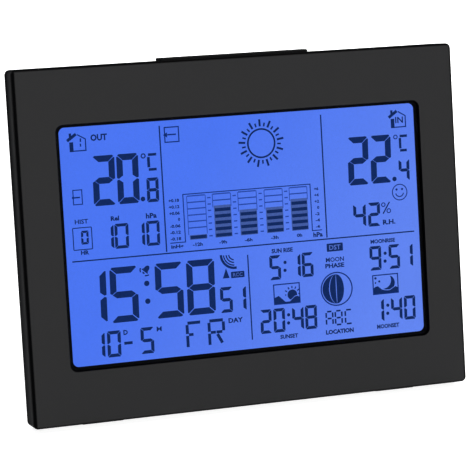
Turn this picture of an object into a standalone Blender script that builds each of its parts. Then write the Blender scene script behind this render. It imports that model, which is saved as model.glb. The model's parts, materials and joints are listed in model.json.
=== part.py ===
"""Tabletop weather station: a leaning case with a large display, a snooze bar on top, a folding
leg and six buttons behind, and the parts inside.

Everything is built in the case's own frame, in millimetres: X to the right, Y into the case from
the front face, Z up the face from the bottom edge. The case_frame empty leans that frame back
and stands the whole model on the XY plane, centred on the origin.
"""

import math

import bmesh
import bpy

MM = 0.001
GAP = 0.3  # between pieces that touch
LEAST_CORNER = 0.05

# Case
FACE_W, FACE_H = 195.0, 148.3
HALF_W = FACE_W / 2
BEZEL_D = 11.5
WALL = 2.0
CASE_CORNER, CASE_EDGE = 2.2, 0.95
LEAN = math.radians(10.2)
FOOT_DROP = 2.6  # from the face's bottom edge to the table, down the face

# Display window, measured from its own centre
MID_Z = FACE_H / 2 - 0.2
WINDOW = (80.55, 51.0)
WINDOW_CORNER = 3.0
LIP = 1.2  # thickness of the face round the window
LENS = (82.5, 53.0)

# Depths of the layers behind the window: (front, back)
LENS_Y = (1.5, 2.3)
FRONT_GLASS_Y = (2.6, 3.3)
REAR_GLASS_Y = (3.6, 4.3)
DIFFUSER_Y = (4.6, 4.8)
GUIDE_Y = (5.1, 7.4)
REFLECTOR_Y = (7.7, 7.9)
HOLDER_Y = (2.3, 9.2)
HOLDER_FLOOR_Y = 8.2
PCB_Y = (10.6, 12.0)
GLASS = (84.0, 55.5)
HOLDER = (86.0, 58.0)

# Rear cover
FLANGE_Y = 9.5
PLATEAU = (86.0, 8.0, 140.0)  # half width, bottom, top
PLATEAU_Y = 18.0
TOWER = (38.0, 9.0, 124.0)
TOWER_Y = 28.0

# Keyholes for two wall screws, each in a hollow boss that reaches back to the tower's plane
KEYHOLE_X, KEYHOLE_Z = 62.0, 120.0
KEYHOLE_HEAD_R, KEYHOLE_NECK_R, KEYHOLE_RISE = 4.2, 2.2, 8.0
BOSS_HALF, BOSS_Z = 9.0, (112.0, 136.0)

# Folding leg: its pivot, and the reach from the pivot to the end of its pads
PIVOT_Y, PIVOT_Z = 25.2, 61.5
LEG_REACH = 61.5
LEG_HALF, LEG_THICK = 25.0, 3.0
POCKET_HALF, POCKET_TOP, POCKET_Y = 25.4, 68.6, 21.0
TRUNNION_R, TRUNNION_LEN = 2.0, 3.8
PAD_H = 2.2

# Battery bay and its door
BAY = (29.5, 72.0, 118.0)
BAY_FLOOR_Y = 11.2
DOOR = (33.0, 70.8, 119.5)
DOOR_Y = (26.3, 28.0)
CELL_R, CELL_LEN = 7.25, 50.5

# Snooze bar and rear buttons
BAR_HALF, BAR_Y, BAR_PROUD = 32.8, (3.0, 11.0), 1.2
BUTTON_X, BUTTON_ZS, BUTTON_R = 56.0, (22.0, 38.0, 54.0), 3.6

SCREW_X, SCREW_ZS = 90.3, (9.0, 74.0, 139.0)
PCB_SCREWS = [(-65.5, 27.0), (-65.5, 58.0), (65.5, 27.0), (65.5, 58.0)]
BUZZER = (-66.0, 84.0)  # centre of the sounder, across Y
FOOT_X, FOOT_HALF = 66.0, 9.0

# Colour, roughness, metallic
MATERIALS = {
    "case_black": ((0.030, 0.030, 0.031), 0.45, 0.0),
    "button_black": ((0.022, 0.022, 0.023), 0.50, 0.0),
    "rubber_black": ((0.015, 0.015, 0.015), 0.85, 0.0),
    "lens_clear": ((0.85, 0.88, 0.92), 0.05, 0.0),
    "lcd_blue": ((0.05, 0.12, 0.85), 0.15, 0.0),
    "lcd_glass": ((0.55, 0.62, 0.66), 0.08, 0.0),
    "light_guide": ((0.80, 0.86, 0.95), 0.10, 0.0),
    "white_film": ((0.85, 0.85, 0.84), 0.50, 0.0),
    "holder_white": ((0.70, 0.70, 0.68), 0.50, 0.0),
    "pcb_green": ((0.02, 0.16, 0.05), 0.40, 0.0),
    "epoxy_black": ((0.01, 0.01, 0.01), 0.30, 0.0),
    "steel": ((0.55, 0.55, 0.55), 0.30, 1.0),
    "nickel": ((0.70, 0.68, 0.62), 0.25, 1.0),
    "copper": ((0.72, 0.32, 0.12), 0.30, 1.0),
    "ferrite_grey": ((0.05, 0.05, 0.055), 0.60, 0.0),
    "keypad_grey": ((0.35, 0.36, 0.38), 0.80, 0.0),
    "cell_wrap": ((0.10, 0.11, 0.13), 0.35, 0.2),
    "ribbon_grey": ((0.45, 0.46, 0.48), 0.60, 0.0),
}


# ---- shapes: each returns (points, faces) in millimetres ----


def ring_solid(rings, hollow=False):
    """Joins rings of equal length into a closed solid; a hollow one joins its last to its first."""
    count = len(rings[0])
    points = [point for ring in rings for point in ring]
    pairs = list(zip(range(len(rings)), range(1, len(rings))))
    if hollow:
        pairs.append((len(rings) - 1, 0))
    faces = [
        (a * count + k, a * count + (k + 1) % count, b * count + (k + 1) % count, b * count + k)
        for a, b in pairs
        for k in range(count)
    ]
    if not hollow:
        faces += [tuple(range(count)), tuple(range(len(points) - count, len(points)))]
    return points, faces


def rectangle(u, v, corner, steps=4):
    """The outline of a rectangle between two (low, high) spans, with round corners."""
    if corner <= 0:
        return [(u[0], v[0]), (u[1], v[0]), (u[1], v[1]), (u[0], v[1])]
    centres = [
        (u[1] - corner, v[0] + corner, -90),
        (u[1] - corner, v[1] - corner, 0),
        (u[0] + corner, v[1] - corner, 90),
        (u[0] + corner, v[0] + corner, 180),
    ]
    outline = []
    for cu, cv, start in centres:
        for k in range(steps + 1):
            angle = math.radians(start + 90 * k / steps)
            outline.append((cu + corner * math.cos(angle), cv + corner * math.sin(angle)))
    return outline


def turn_to(axis, u, v, w):
    """The point at u, v across an axis and w along it."""
    return {"X": (w, u, v), "Y": (u, w, v), "Z": (u, v, w)}[axis]


def layered(u, v, layers, corner=0.0, axis="Y"):
    """Rounded rectangles stacked along an axis; a layer is (place along it, inset)."""
    rings = []
    for place, inset in layers:
        across = (u[0] + inset, u[1] - inset), (v[0] + inset, v[1] - inset)
        radius = max(corner - inset, LEAST_CORNER) if corner else 0
        rings.append([turn_to(axis, a, b, place) for a, b in rectangle(*across, radius)])
    return ring_solid(rings)


def soft_ends(low, high, low_r=0.0, high_r=0.0, steps=3):
    """Layers from low to high whose two rims are quarter rounds."""
    turns = [math.pi / 2 * k / steps for k in range(steps + 1)]
    first = [(low + low_r * (1 - math.cos(t)), low_r * (1 - math.sin(t))) for t in turns]
    last = [(high - high_r * (1 - math.cos(t)), high_r * (1 - math.sin(t))) for t in turns]
    return (first if low_r else [(low, 0)]) + (last[::-1] if high_r else [(high, 0)])


def block(x, y, z):
    return layered(x, z, [(y[0], 0), (y[1], 0)])


def turned(axis, centre, profile, sides=20, hollow=False):
    """A round solid along an axis, from (place, radius) pairs; centre is (u, v) across it."""
    rings = []
    for place, radius in profile:
        ring = []
        for k in range(sides):
            angle = 2 * math.pi * k / sides
            u = centre[0] + radius * math.cos(angle)
            v = centre[1] + radius * math.sin(angle)
            ring.append(turn_to(axis, u, v, place))
        rings.append(ring)
    return ring_solid(rings, hollow)


def prism(outline, x):
    """A (y, z) outline drawn out along X."""
    return ring_solid([[(place, y, z) for y, z in outline] for place in x])


# ---- objects ----


def clear_scene():
    for obj in list(bpy.data.objects):
        bpy.data.objects.remove(obj, do_unlink=True)


def make_materials():
    made = {}
    for name, (colour, roughness, metallic) in MATERIALS.items():
        material = bpy.data.materials.new(name)
        material.use_nodes = True
        shader = material.node_tree.nodes["Principled BSDF"]
        shader.inputs["Base Color"].default_value = (*colour, 1.0)
        shader.inputs["Roughness"].default_value = roughness
        shader.inputs["Metallic"].default_value = metallic
        made[name] = material
    return made


def mesh_object(name, shapes):
    """One object whose mesh holds the shapes, with every face turned outward."""
    shell = bmesh.new()
    for points, faces in shapes:
        corners = [shell.verts.new([value * MM for value in point]) for point in points]
        for face in faces:
            shell.faces.new([corners[k] for k in face])
    bmesh.ops.recalc_face_normals(shell, faces=shell.faces)
    mesh = bpy.data.meshes.new(name)
    shell.to_mesh(mesh)
    shell.free()
    mesh.shade_smooth()
    mesh.set_sharp_from_angle(angle=math.radians(35))
    obj = bpy.data.objects.new(name, mesh)
    bpy.context.scene.collection.objects.link(obj)
    return obj


def piece(name, material, *shapes, at=(0, 0, 0), parent=None):
    """A named sub-part, whose shapes are drawn about its own origin at the point `at`."""
    obj = mesh_object(name, shapes)
    obj.data.materials.append(materials[material])
    obj.parent = parent or case_frame
    obj.location = [value * MM for value in at]
    return obj


def carve(obj, operation, shapes):
    """Adds or removes each shape in turn; the helper is left out of the model."""
    for number, shape in enumerate(shapes):
        helper = mesh_object(f"{obj.name}_{operation.lower()}_{len(obj.modifiers)}", [shape])
        helper.parent = obj
        helper.hide_render = True
        helper.display_type = "WIRE"
        modifier = obj.modifiers.new(f"{operation.lower()} {number}", "BOOLEAN")
        modifier.operation = operation
        modifier.object = helper
        modifier.solver = "EXACT"


def join(obj, *shapes):
    carve(obj, "UNION", shapes)


def cut(obj, *shapes):
    carve(obj, "DIFFERENCE", shapes)


def around_mid(half_height):
    return (MID_Z - half_height, MID_Z + half_height)


def span(half):
    return (-half, half)


# ---- casing ----


def front_bezel():
    outer = layered(
        span(HALF_W), (0, FACE_H), soft_ends(0, BEZEL_D, CASE_EDGE, GAP), CASE_CORNER
    )
    bezel = piece("front_bezel", "case_black", outer)
    inside = layered(
        span(HALF_W - WALL), (WALL, FACE_H - WALL), [(WALL, 0), (BEZEL_D + 1, 0)], 1.0
    )
    rebate = block(span(LENS[0] + 0.5), (LIP, WALL + 1), around_mid(LENS[1] + 0.5))
    window = layered(
        span(WINDOW[0]),
        around_mid(WINDOW[1]),
        [(-1.0, -0.4), (0.0, -0.4), (0.12, -0.12), (0.4, 0.0), (LIP + 1, 0.0)],
        WINDOW_CORNER,
    )
    cut(bezel, inside, rebate, window)
    posts = [(side * SCREW_X, z) for side in (-1, 1) for z in SCREW_ZS]
    join(bezel, *[turned("Y", post, [(WALL - 0.5, 3.0), (FLANGE_Y - GAP, 3.0)], 16) for post in posts])
    cut(bezel, *[turned("Y", post, [(WALL + 1, 1.5), (FLANGE_Y, 1.5)], 12) for post in posts])
    shelves = [block((x - 1, x + 1), (WALL - 0.5, 8.6), (133.0, 134.9)) for x in (-34, 34)]
    join(bezel, *shelves)
    # The notch for the snooze bar is open at the back, and each foot sits in a shallow recess.
    notch = block(span(BAR_HALF + GAP), (BAR_Y[0] - GAP, BEZEL_D + 1), (FACE_H - WALL - 1, FACE_H + 1))
    wide = FOOT_HALF + GAP
    recesses = [block((x - wide, x + wide), (6.6, 10.9), (-1, 0.8)) for x in (-FOOT_X, FOOT_X)]
    cut(bezel, notch, *recesses)


def rear_cover():
    flange = layered(
        span(HALF_W - WALL - GAP),
        (WALL + GAP, FACE_H - WALL - GAP),
        [(FLANGE_Y, 0), (BEZEL_D, 0)],
        1.0,
    )
    cover = piece("rear_cover", "case_black", flange)
    half, low, high = PLATEAU
    join(cover, layered(span(half), (low, high), soft_ends(FLANGE_Y + 0.5, PLATEAU_Y, 0, 2.5), 6.0))
    tower_half, tower_low, tower_high = TOWER
    tower = layered(
        span(tower_half), (tower_low, tower_high), soft_ends(FLANGE_Y + 1, TOWER_Y, 0, 2.0), 4.0
    )
    join(cover, tower, *hanging_bosses(0))
    cut(
        cover,
        layered(
            span(half - WALL), (low + WALL, high - WALL), [(8, 0), (PLATEAU_Y - WALL, 0)], 4.0
        ),
        layered(
            span(tower_half - WALL),
            (tower_low + WALL, tower_high - WALL),
            [(9, 0), (TOWER_Y - WALL, 0)],
            2.5,
        ),
        *hanging_bosses(WALL),
    )
    bay_half, bay_low, bay_high = BAY
    join(
        cover,
        block(span(bay_half + 1.5), (9.9, TOWER_Y - 1), (bay_low - 1.5, bay_high + 1.5)),
        block(span(tower_half - 1), (TOWER_Y - 4, TOWER_Y - 1), (POCKET_TOP + 0.2, tower_high - 1)),
        block(span(POCKET_HALF + WALL), (POCKET_Y - WALL, TOWER_Y - 1), (tower_low + 0.5, POCKET_TOP + 1)),
        block(span(POCKET_HALF + 5), (PIVOT_Y - 4.5, TOWER_Y - 0.8), (PIVOT_Z - 5, POCKET_TOP + 1)),
    )
    door_half, door_low, _ = DOOR
    cut(
        cover,
        block(span(bay_half), (BAY_FLOOR_Y, TOWER_Y + 1), (bay_low, bay_high)),
        block(span(door_half + GAP), (DOOR_Y[0] - GAP, TOWER_Y + 1), (door_low - GAP, tower_high + 1)),
        block(span(door_half + 1.8), (DOOR_Y[0] - GAP, DOOR_Y[0] + 0.9), (door_low - GAP, tower_high + 1)),
        block(span(POCKET_HALF), (POCKET_Y, TOWER_Y + 1), (tower_low - 2, POCKET_TOP)),
    )
    reach = LEG_HALF + TRUNNION_LEN + GAP
    cut(cover, turned("X", (PIVOT_Y, PIVOT_Z), [(-reach, TRUNNION_R + GAP), (reach, TRUNNION_R + GAP)]))
    cut(cover, *cover_holes())


def hanging_bosses(wall):
    """The two bosses round the keyholes; with a wall thickness, the hollows inside them."""
    front = PLATEAU_Y - 4 if not wall else PLATEAU_Y - 8
    bosses = []
    for x in (-KEYHOLE_X, KEYHOLE_X):
        across = (x - BOSS_HALF + wall, x + BOSS_HALF - wall), (BOSS_Z[0] + wall, BOSS_Z[1] - wall)
        rims = soft_ends(front, TOWER_Y - wall, 0, 0 if wall else 1.5)
        bosses.append(layered(*across, rims, 4.0 - wall / 2))
    return bosses


def cover_holes():
    """Button holes, screw holes with their counterbores, keyholes, vents and sound holes."""
    holes = []
    for side in (-1, 1):
        for z in BUTTON_ZS:
            rim = BUTTON_R + GAP
            profile = [(PLATEAU_Y - 3, rim), (PLATEAU_Y - 0.5, rim), (PLATEAU_Y + 1, rim + 1.5)]
            holes.append(turned("Y", (side * BUTTON_X, z), profile))
        for z in SCREW_ZS:
            holes.append(turned("Y", (side * SCREW_X, z), [(FLANGE_Y - 1, 1.6), (BEZEL_D + 1, 1.6)], 12))
        holes.append(keyhole(side * KEYHOLE_X))
    for k in range(5):
        low = 82 + 4.2 * k
        holes.append(layered((62, 80), (low, low + 1.8), [(PLATEAU_Y - 3, 0), (PLATEAU_Y + 1, 0)], 0.85))
    ring = [(4 * math.cos(k * math.pi / 3), 4 * math.sin(k * math.pi / 3)) for k in range(6)]
    for dx, dz in [(0, 0), *ring]:
        centre = (BUZZER[0] + dx, BUZZER[1] + dz)
        holes.append(turned("Y", centre, [(PLATEAU_Y - 3, 0.9), (PLATEAU_Y + 1, 0.9)], 10))
    # The rear flange gives way under the snooze bar.
    holes.append(block(span(BAR_HALF + 1.2), (FLANGE_Y - 1, BEZEL_D + 1), (144.9, FACE_H)))
    return holes


def keyhole(x, steps=8):
    """A round mouth for a screw's head, with a neck above it for the shank."""
    start = math.asin(KEYHOLE_NECK_R / KEYHOLE_HEAD_R)
    outline = []
    for k in range(4 * steps + 1):
        angle = math.pi / 2 + start + (2 * math.pi - 2 * start) * k / (4 * steps)
        outline.append((KEYHOLE_HEAD_R * math.cos(angle), KEYHOLE_HEAD_R * math.sin(angle)))
    for k in range(steps + 1):
        angle = math.pi * k / steps
        outline.append((KEYHOLE_NECK_R * math.cos(angle), KEYHOLE_RISE + KEYHOLE_NECK_R * math.sin(angle)))
    ends = (TOWER_Y - WALL - 1, TOWER_Y + 1)
    return ring_solid([[(x + u, y, KEYHOLE_Z + v) for u, v in outline] for y in ends])


def battery_door():
    half, low, high = DOOR
    middle = (low + high) / 2
    plate = layered(span(half), (low - middle, high - middle), soft_ends(0, DOOR_Y[1] - DOOR_Y[0], 0, 0.3))
    door = piece("battery_door", "case_black", plate, at=(0, DOOR_Y[0], middle))
    join(door, block(span(half + 1.5), (0, 0.6), (low - middle + 1, high - middle - 1)))
    ridges = [block(span(9 - 1.2 * k), (1.2, 3), (z, z + 0.9)) for k, z in enumerate((15.5, 17.5, 19.5))]
    cut(door, *ridges)


def case_screws():
    for number, (side, z) in enumerate([(side, z) for side in (-1, 1) for z in SCREW_ZS], 1):
        head = BEZEL_D + GAP
        profile = [(4.0, 0.5), (5.0, 1.2), (head, 1.2), (head, 2.6), (head + 0.8, 2.6), (head + 1.4, 1.7)]
        screw = piece(f"case_screw_{number}", "steel", turned("Y", (side * SCREW_X, z), profile, 14))
        x = side * SCREW_X
        cut(
            screw,
            block((x - 1.3, x + 1.3), (head + 0.7, head + 3), (z - 0.3, z + 0.3)),
            block((x - 0.3, x + 0.3), (head + 0.7, head + 3), (z - 1.3, z + 1.3)),
        )


def feet():
    def table(y):
        return y * math.tan(LEAN) - FOOT_DROP

    for name, x in (("foot_left", -FOOT_X), ("foot_right", FOOT_X)):
        outline = [(6.9, 0.5), (10.6, 0.5), (10.6, table(10.6)), (6.9, table(6.9))]
        piece(name, "rubber_black", prism(outline, (x - FOOT_HALF, x + FOOT_HALF)))


# ---- folding leg ----


def leg_angles():
    """(how far the open leg stands off the case's back, and off the vertical)."""
    height = PIVOT_Z * math.cos(LEAN) - PIVOT_Y * math.sin(LEAN) + FOOT_DROP * math.cos(LEAN)
    upright = math.acos(height / LEG_REACH)
    return upright + LEAN, upright


def stand():
    """The leg is drawn folded, hanging from its pivot, and its frame swings it open."""
    opened, upright = leg_angles()
    leg_frame = bpy.data.objects.new("leg_frame", None)
    bpy.context.scene.collection.objects.link(leg_frame)
    leg_frame.parent = case_frame
    leg_frame.location = (0, PIVOT_Y * MM, PIVOT_Z * MM)
    leg_frame.rotation_euler = (opened, 0, 0)
    half = LEG_THICK / 2
    # The heel above the pivot meets the pocket's floor and stops the leg.
    heel = (PIVOT_Y - POCKET_Y - GAP - half * math.cos(opened)) / math.sin(opened)
    end = -(LEG_REACH - PAD_H - GAP)
    plate = layered(span(LEG_HALF), (end, heel), soft_ends(-half, half, 0, 0.5), 2.0)
    leg = piece("stand", "case_black", plate, parent=leg_frame)
    reach = LEG_HALF + TRUNNION_LEN
    join(leg, turned("X", (0, 0), [(-reach, TRUNNION_R), (reach, TRUNNION_R)], 16))
    hollow = layered((-LEG_HALF + 4, LEG_HALF - 4), (end + 12, -8), [(0.4, 0), (half + 1, 0)], 2.0)
    notch = layered(span(8), (end - 5, end + 6), [(-half - 1, 0), (half + 1, 0)], 3.0)
    cut(leg, hollow, notch)
    slope = half * math.tan(upright)
    for name, x in (("stand_pad_left", -17.0), ("stand_pad_right", 17.0)):
        top = end - GAP
        outline = [(-half, top), (half, top), (half, -LEG_REACH - slope), (-half, -LEG_REACH + slope)]
        piece(name, "rubber_black", prism(outline, (x - 7, x + 7)), parent=leg_frame)


# ---- controls ----


def snooze_bar():
    """Its origin is on the top face, and it travels down the face."""
    bar = piece(
        "snooze_bar",
        "button_black",
        layered(span(BAR_HALF), BAR_Y, soft_ends(-WALL + GAP, BAR_PROUD, 0, 0.5), 1.2, "Z"),
        at=(0, 0, FACE_H),
    )
    top = -WALL - GAP
    join(
        bar,
        block(span(BAR_HALF - 1.5), (3.4, 8.9), (top - 2, -WALL + 1)),
        block(span(BAR_HALF + 2.4), (2.6, 8.9), (top - 2.2, top)),
        *[turned("Z", (x, 6.0), [(-6.2, 1.5), (top - 1, 1.5)], 12) for x in (-20, 20)],
    )


def snooze_switches():
    piece("snooze_board", "pcb_green", block(span(48), (3.0, 8.9), (135.2, 136.4)))
    for name, x in (("snooze_switch_left", -20.0), ("snooze_switch_right", 20.0)):
        body = piece(name, "epoxy_black", block((x - 3, x + 3), (3.2, 8.8), (136.7, 140.2)))
        join(body, turned("Z", (x, 6.0), [(139.5, 1.6), (141.0, 1.6)], 12))


def rear_buttons():
    """Each button's origin is on its own axis, at the plateau's outer face."""
    places = [(side * BUTTON_X, z) for side in (-1, 1) for z in BUTTON_ZS]
    for number, (x, z) in enumerate(places, 1):
        profile = [
            (-3.6, 1.5),
            (-3.1, 1.5),
            (-3.1, BUTTON_R + 1),
            (-WALL - GAP, BUTTON_R + 1),
            (-WALL - GAP, BUTTON_R),
            (0.5, BUTTON_R),
            (0.9, BUTTON_R - 0.4),
        ]
        button = turned("Y", (0, 0), profile, 24)
        piece(f"rear_button_{number}", "button_black", button, at=(x, PLATEAU_Y, z))
    for name, x in (("keypad_left", -BUTTON_X), ("keypad_right", BUTTON_X)):
        mat = piece(
            name, "keypad_grey", layered((x - 6, x + 6), (15, 61), [(PCB_Y[1] + GAP, 0), (12.9, 0)], 1.5)
        )
        join(mat, *[turned("Y", (x, z), [(12.6, 3.2), (13.2, 2.2)], 14) for z in BUTTON_ZS])


# ---- display ----


def sheet(name, material, half, low, high, depths):
    """A flat layer of the display; low and high are measured from the window's centre."""
    piece(name, material, block(span(half), depths, (MID_Z + low, MID_Z + high)))


def display():
    sheet("display_lens", "lens_clear", LENS[0], -LENS[1], LENS[1], LENS_Y)
    sheet("lcd_front_glass", "lcd_blue", GLASS[0], -GLASS[1], GLASS[1], FRONT_GLASS_Y)
    # The rear glass stops short of the bottom, where the zebra strip meets the front glass.
    sheet("lcd_rear_glass", "lcd_glass", GLASS[0], -51.0, GLASS[1], REAR_GLASS_Y)
    sheet("diffuser_sheet", "white_film", 80.5, -50.8, 54.0, DIFFUSER_Y)
    sheet("light_guide", "light_guide", 80.0, -50.5, 54.0, GUIDE_Y)
    sheet("reflector_sheet", "white_film", 80.5, -50.8, 54.0, REFLECTOR_Y)
    board = piece("backlight_led_board", "pcb_green", block((82.4, 83.6), GUIDE_Y, around_mid(48)))
    leds = [(MID_Z + 8 * k) for k in range(-5, 6, 2)]
    join(board, *[block((80.4, 82.9), (5.4, 7.1), (z - 1.6, z + 1.6)) for z in leds])
    piece("zebra_strip", "keypad_grey", block(span(64), (3.6, PCB_Y[0] - GAP), (MID_Z - 54.6, MID_Z - 52.2)))


def lcd_holder():
    holder = piece(
        "lcd_holder",
        "holder_white",
        layered(span(HOLDER[0]), around_mid(HOLDER[1]), [(HOLDER_Y[0], 0), (HOLDER_Y[1], 0)], 1.5),
    )
    cut(
        holder,
        block(span(GLASS[0] + GAP), (1, HOLDER_FLOOR_Y), around_mid(GLASS[1] + GAP)),
        block(span(64 + GAP), (HOLDER_FLOOR_Y - 1, 12), (MID_Z - 54.9, MID_Z - 51.9)),
    )
    join(
        holder,
        *[turned("Y", post, [(HOLDER_Y[1] - 0.5, 2.6), (PCB_Y[0] - GAP, 2.6)], 14) for post in PCB_SCREWS],
    )
    cut(holder, *[turned("Y", post, [(HOLDER_Y[1] - 0.4, 1.3), (12, 1.3)], 10) for post in PCB_SCREWS])


# ---- electronics ----


def main_board():
    board = piece(
        "main_pcb", "pcb_green", layered(span(69), (17.5, 64), [(PCB_Y[0], 0), (PCB_Y[1], 0)], 1.5)
    )
    cut(board, *[turned("Y", post, [(10, 1.3), (13, 1.3)], 10) for post in PCB_SCREWS])
    dome = [(PCB_Y[1] + GAP, 6.5), (13.0, 6.0), (13.5, 4.6), (13.8, 2.4)]
    piece("chip_blob", "epoxy_black", turned("Y", (-10, 42), dome))
    can = layered((14, 22), (38, 41.2), soft_ends(PCB_Y[1] + GAP, 15.2, 0, 0.4), 1.5)
    piece("crystal_can", "nickel", can)
    for number, post in enumerate(PCB_SCREWS, 1):
        head = PCB_Y[1] + GAP
        profile = [(9.2, 1.0), (head, 1.0), (head, 2.1), (head + 1.1, 1.8)]
        piece(f"pcb_screw_{number}", "steel", turned("Y", post, profile, 12))


def radio_parts():
    piece("rf_board", "pcb_green", block((42, 60), (10.6, 11.6), (70, 100)))
    wire = bpy.data.curves.new("rf_antenna", "CURVE")
    wire.dimensions = "3D"
    wire.bevel_depth = 0.35 * MM
    wire.bevel_resolution = 1
    wire.use_fill_caps = True
    turns, steps = 6, 10
    spline = wire.splines.new("POLY")
    spline.points.add(turns * steps)
    for k, point in enumerate(spline.points):
        angle = 2 * math.pi * k / steps
        place = (44 + 1.6 * k / steps, 13.2 + 1.6 * math.cos(angle), 104 + 1.6 * math.sin(angle))
        point.co = (*[value * MM for value in place], 1)
    antenna = bpy.data.objects.new("rf_antenna", wire)
    bpy.context.scene.collection.objects.link(antenna)
    antenna.parent = case_frame
    wire.materials.append(materials["copper"])
    rod = (5.8, 140.0)
    piece("ferrite_core", "ferrite_grey", turned("X", rod, [(-85, 2.9), (-53, 2.9)], 16))
    ring = [(-76, 3.2), (-76, 3.7), (-62, 3.7), (-62, 3.2)]
    piece("ferrite_coil", "copper", turned("X", rod, ring, 16, hollow=True))
    piece("receiver_board", "pcb_green", block((54, 72), (4.2, 5.2), (134.6, 144.6)))


def small_parts():
    sounder = [(12.9, 8.0), (15.7, 8.0)]
    piece("buzzer", "epoxy_black", turned("Y", BUZZER, sounder, 24))
    board = piece("sensor_board", "pcb_green", block((64, 78), (12.6, 13.6), (84, 101)))
    join(board, block((69, 73), (13.4, 15.0), (90, 95)))
    # A flat ribbon from the main board, up behind the display and forward over the holder.
    outline = [(12.4, 64.6), (12.9, 64.6), (12.9, 134.2), (5.0, 134.2), (5.0, 133.7), (12.4, 133.7)]
    piece("snooze_ribbon", "ribbon_grey", prism(outline, (-47, -41)))


# ---- power ----


def cell_rows():
    """The heights of the cells' axes."""
    low, high = BAY[1], BAY[2]
    pitch = (high - low) / 3
    return [low + pitch * (k + 0.5) for k in range(3)]


def batteries():
    y = DOOR_Y[0] - GAP - CELL_R
    for number, z in enumerate(cell_rows(), 1):
        way = 1 if number % 2 else -1
        half = CELL_LEN / 2
        profile = [(-half, 6.2), (-half, CELL_R - 0.3), (-half + 0.4, CELL_R)]
        profile += [(half - 1.9, CELL_R), (half - 1.5, CELL_R - 0.5), (half - 1.5, 2.7), (half, 2.7)]
        profile = [(way * place, radius) for place, radius in profile]
        piece(f"battery_{number}", "cell_wrap", turned("X", (y, z), profile, 28))


def battery_contacts():
    """Two single plates and two bridges; a long bump is a spring, a short one a cap contact."""
    y = DOOR_Y[0] - GAP - CELL_R
    rows = cell_rows()
    plates = [(-1, rows[:1]), (-1, rows[1:]), (1, rows[:2]), (1, rows[2:])]
    for number, (side, served) in enumerate(plates, 1):
        wall = BAY[0] - GAP
        ends = sorted((side * wall, side * (wall - 0.4)))
        low, high = served[0] - 6, served[-1] + 6
        plate = piece(f"battery_contact_{number}", "nickel", block(ends, (y - 6, y + 5), (low, high)))
        for z in served:
            positive = (rows.index(z) % 2 == 0) == (side > 0)
            root = side * (wall - 0.2)
            tip = side * (CELL_LEN / 2 + GAP)
            radii = (2.4, 1.6) if positive else (4.6, 2.8)
            join(plate, turned("X", (y, z), [(root, radii[0]), (tip, radii[1])], 14))


def stand_on_origin():
    """Moves the whole model so that its box stands on the XY plane, centred on the origin."""
    bpy.context.view_layer.update()
    graph = bpy.context.evaluated_depsgraph_get()
    low, high = [1e9] * 3, [-1e9] * 3
    for obj in bpy.data.objects:
        if obj.type == "EMPTY" or obj.hide_render:
            continue
        evaluated = obj.evaluated_get(graph)
        for vertex in evaluated.to_mesh().vertices:
            place = evaluated.matrix_world @ vertex.co
            low = [min(a, b) for a, b in zip(low, place)]
            high = [max(a, b) for a, b in zip(high, place)]
        evaluated.to_mesh_clear()
    case_frame.location = (-(low[0] + high[0]) / 2, -(low[1] + high[1]) / 2, -low[2])
    bpy.context.view_layer.update()


clear_scene()
materials = make_materials()
case_frame = bpy.data.objects.new("case_frame", None)
bpy.context.scene.collection.objects.link(case_frame)
case_frame.rotation_euler = (-LEAN, 0, 0)

front_bezel()
rear_cover()
battery_door()
case_screws()
feet()
stand()
snooze_bar()
snooze_switches()
rear_buttons()
display()
lcd_holder()
main_board()
radio_parts()
small_parts()
batteries()
battery_contacts()
stand_on_origin()
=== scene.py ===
"""Looks of the tabletop weather station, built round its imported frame.

Lengths are in millimetres in the case's own frame, as in the design: X to the right, Y into the case
from its front face, Z up the face from the bottom edge. CASE turns that frame into the row's.
The display's picture has its own pair: X to the right and Y up, both from the window's centre.
"""

import functools
import json
import math

import bmesh
import bpy
from mathutils import Matrix, Vector


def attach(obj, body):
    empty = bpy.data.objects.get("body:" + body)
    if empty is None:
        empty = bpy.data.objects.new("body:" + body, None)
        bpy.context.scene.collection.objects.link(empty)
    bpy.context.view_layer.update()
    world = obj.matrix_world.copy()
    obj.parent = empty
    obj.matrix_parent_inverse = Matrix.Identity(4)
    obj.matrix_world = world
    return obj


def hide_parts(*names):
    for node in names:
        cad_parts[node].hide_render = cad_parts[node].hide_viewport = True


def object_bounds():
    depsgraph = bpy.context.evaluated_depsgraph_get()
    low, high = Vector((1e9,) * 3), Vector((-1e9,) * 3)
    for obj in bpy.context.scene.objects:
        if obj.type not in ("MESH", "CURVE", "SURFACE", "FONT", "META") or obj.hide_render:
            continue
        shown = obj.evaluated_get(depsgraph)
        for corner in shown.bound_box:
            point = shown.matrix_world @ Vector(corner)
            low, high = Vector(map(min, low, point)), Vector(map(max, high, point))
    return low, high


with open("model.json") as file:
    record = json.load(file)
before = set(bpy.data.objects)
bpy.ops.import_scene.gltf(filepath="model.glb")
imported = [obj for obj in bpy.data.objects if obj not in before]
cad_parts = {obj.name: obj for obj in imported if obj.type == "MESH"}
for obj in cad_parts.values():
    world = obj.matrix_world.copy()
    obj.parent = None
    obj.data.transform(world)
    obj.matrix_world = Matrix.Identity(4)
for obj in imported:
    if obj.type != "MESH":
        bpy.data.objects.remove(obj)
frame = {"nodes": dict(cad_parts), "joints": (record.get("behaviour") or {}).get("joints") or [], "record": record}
cad_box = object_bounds()

MM = 0.001
GAP = 0.3  # between neighbouring pieces
SHARP_DEG = 32  # edges that turn by more stay sharp in the shading

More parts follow.
